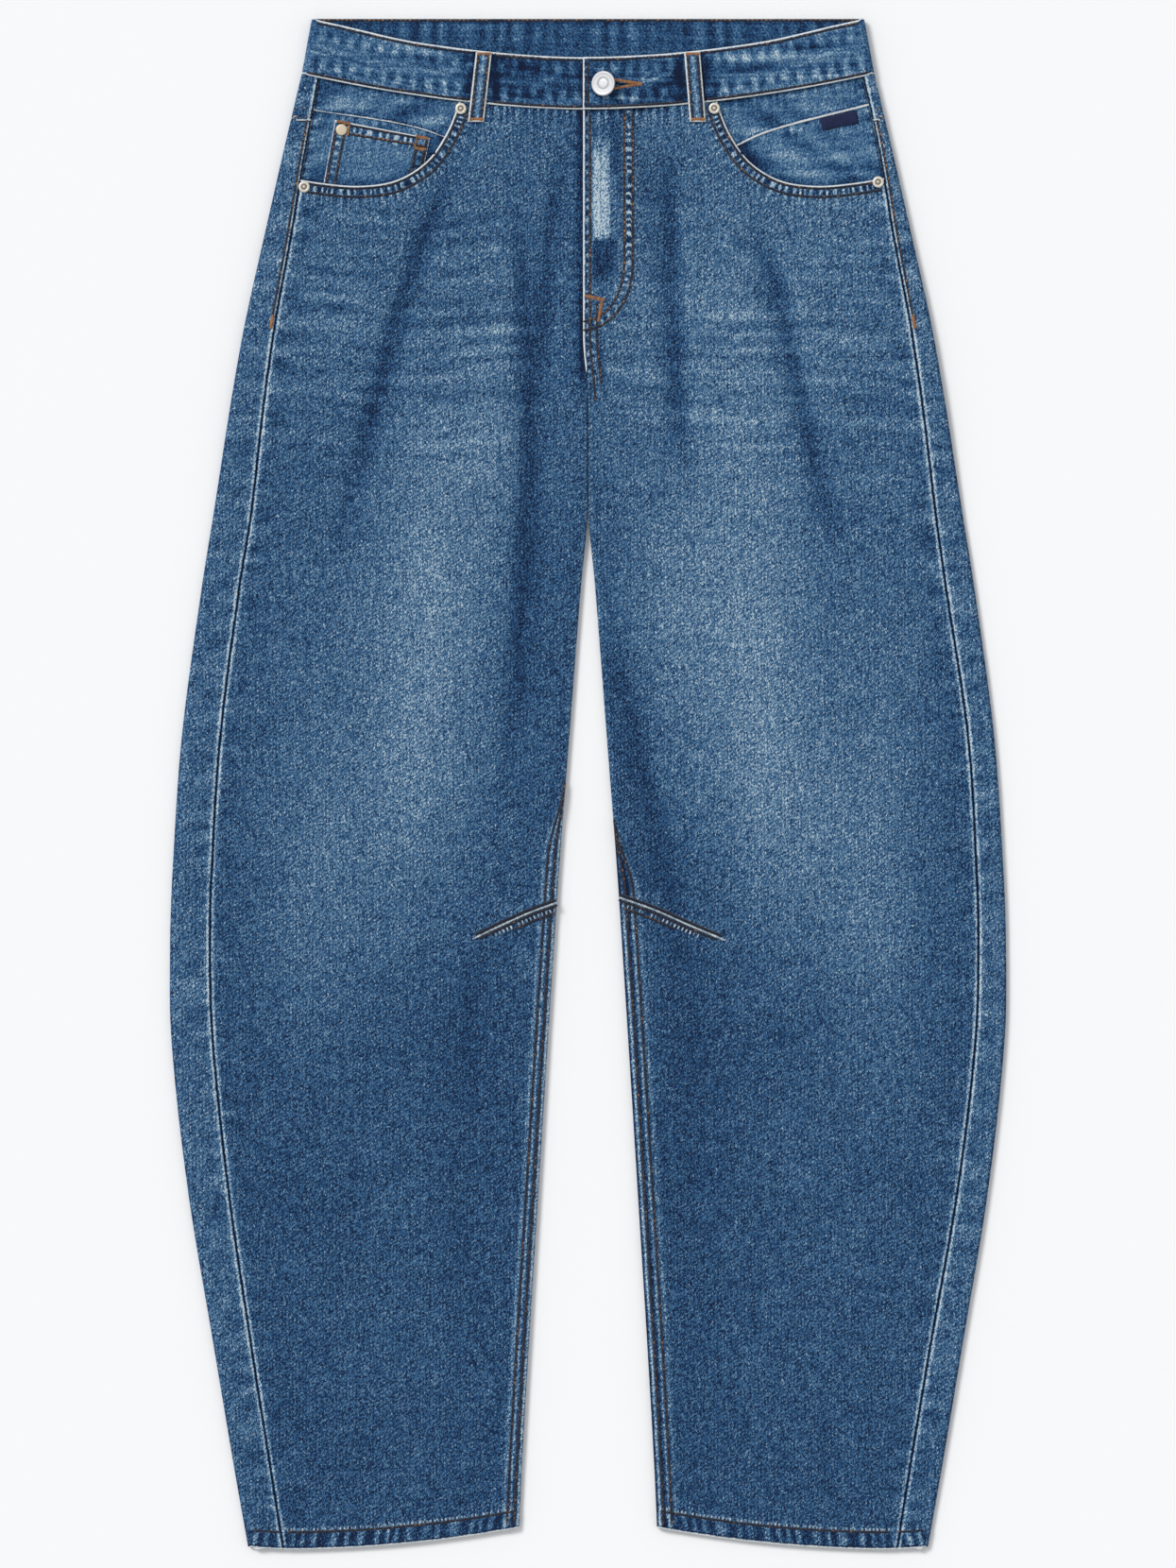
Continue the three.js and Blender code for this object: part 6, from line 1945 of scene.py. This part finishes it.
coin_rows = {
    "top low": ((0.03, 1 - COIN_HEM / COIN_TALL), (0.97, 1 - COIN_HEM / COIN_TALL), 0.6),
    "top high": ((0.12, 1 - 1.6 / COIN_TALL), (0.97, 1 - 1.6 / COIN_TALL), 0.3),
    "inner 1": ((2.0 / COIN_WIDE, 0.03), (2.0 / COIN_WIDE, 0.97), 0.3),
    "inner 2": ((8.0 / COIN_WIDE, 0.03), (8.0 / COIN_WIDE, 0.84), 0.4),
    "outer 1": ((1 - 2.0 / COIN_WIDE, 0.03), (1 - 2.0 / COIN_WIDE, 0.9), 0.3),
    "outer 2": ((1 - 8.0 / COIN_WIDE, 0.03), (1 - 8.0 / COIN_WIDE, 0.84), 0.4),
}
coin_bartacks = (
    ((0.02, 0.985), (0.15, 0.985), 1.8, 0.85),
    ((0.135, 0.97), (0.135, 0.80), 1.5, 0.6),
    ((0.02, 0.81), (0.14, 0.81), 1.7, 0.85),
    ((0.84, 0.985), (0.98, 0.985), 1.8, 0.8),
    ((0.845, 0.97), (0.845, 0.84), 1.6, 0.8),
)


def on_coin(x, y):
    return coin_top(x, y) + 0.42


for start, end, shade in coin_rows.values():
    sew(np.array([coin_at(*start), coin_at(*end)]), on_coin, -1, shade)
for start, end, wide, shade in coin_bartacks:
    satin(np.array([coin_at(*start), coin_at(*end)]), on_coin, wide, -1, shade)
tie_off("band_stitching", threads, thread)

# %% [markdown]
# ### Rows underneath
# The seat seam, the yoke, the patch pockets and the back of the hem have their rows too. They are
# pressed flat against the table, so their threads are flatter.


# %% Rows underneath
def sew_under(line, z, shade=0.4):
    sew(line, z if callable(z) else lambda x, y: 0 * x + z, 1, shade, 3.2, -1.0, 0.7, 0.22)


def back_low(x, y):
    return underside(y) - 0.02


for side in (-1, 1):
    for inset in (1.6, 7.0):
        edge, foot = 1 - inset / POCKET_HALF, 1 - inset / POCKET_TALL
        across, down = np.array([-edge, -edge, 0, edge, edge]), np.array([0.01, foot, foot, foot, 0.01])
        sew_under(line_of(*pocket_place(side, across, down)), 0.0, 0.5)
    sew_under(line_of(*pocket_place(side, np.array([-0.97, 0.97]), np.array([0.09, 0.09]))), 0.0, 0.5)
    us = np.linspace(0.02, 0.95, 30)
    for rise in (2.0, 8.0):
        xs = inner_edge(440.0) + us * (outer_edge(440.0) - inner_edge(440.0))
        sew_under(line_of(side * xs, yoke_seam(us) + rise), SEAT_LIFT - 0.02, 0.5)
    us = np.linspace(0.03, 0.97, 30)
    row_y = HEM_Y + HEM_ROW
    xs = inner_edge(row_y) + us * (outer_edge(row_y) - inner_edge(row_y))
    sew_under(line_of(side * xs, row_y + hem_lift(us)), 0.0, 0.3)
for off in (2.0, 8.0):
    ys = np.linspace(484, 268, 60)
    sew_under(line_of(off, ys), back_low, 0.5)
for middle in BACK_LOOPS.values():
    for off in LOOP_ROWS:
        sew_under(np.array([(middle + off, TOP_Y - 2.5), (middle + off, TOP_Y - 46.0)]), 0.0, 0.45)
tie_off("back_stitching", threads, thread)
tie_off("rubbed_crests", crests, rubbed_material())

# %% [markdown]
# ## Table and light
# A pale, matt table and a large soft key from the upper left show the puckers without hard shadows.
# The world gives the even fill of a white studio. The view transform is plain, as for a catalogue.

# %% Stage
TABLE_HALF, TABLE_Z = 3000.0, -0.5
table = Graph("pale_table", Roughness=0.9, Base_Color=(0.97, 0.97, 0.97, 1.0))
place = table.node("ShaderNodeTexCoord", output=3)
fibre = table.noise(place, 300.0, 3.0, 0.6)
table.feed(Normal=table.node("ShaderNodeBump", {}, {"Strength": 0.05, "Distance": 0.0003, "Height": fibre}))
corners = np.array([(-1, -1, 0), (1, -1, 0), (1, 1, 0), (-1, 1, 0)]) * TABLE_HALF + (0, 0, TABLE_Z)
floor = make_piece("table", corners, np.array([[0, 1, 2, 3]]), material=table.material)

world = bpy.data.worlds.new("studio")
world.use_nodes = True
world.node_tree.nodes["Background"].inputs["Color"].default_value = (0.97, 0.985, 1.0, 1.0)
world.node_tree.nodes["Background"].inputs["Strength"].default_value = 0.58
scene.world = world

key = bpy.data.objects.new("key", bpy.data.lights.new("key", "SUN"))
key.data.energy, key.data.angle = 1.85, 0.35
key.rotation_euler = Vector((-0.55, 0.52, 0.72)).to_track_quat("Z", "Y").to_euler()
scene.collection.objects.link(key)
scene.view_settings.view_transform = "Standard"

# %% [markdown]
# ## Sizes
# The cut size of each cloth piece is printed.

# %% Sizes
print("cut sizes:", json.dumps(cloth_cuts))
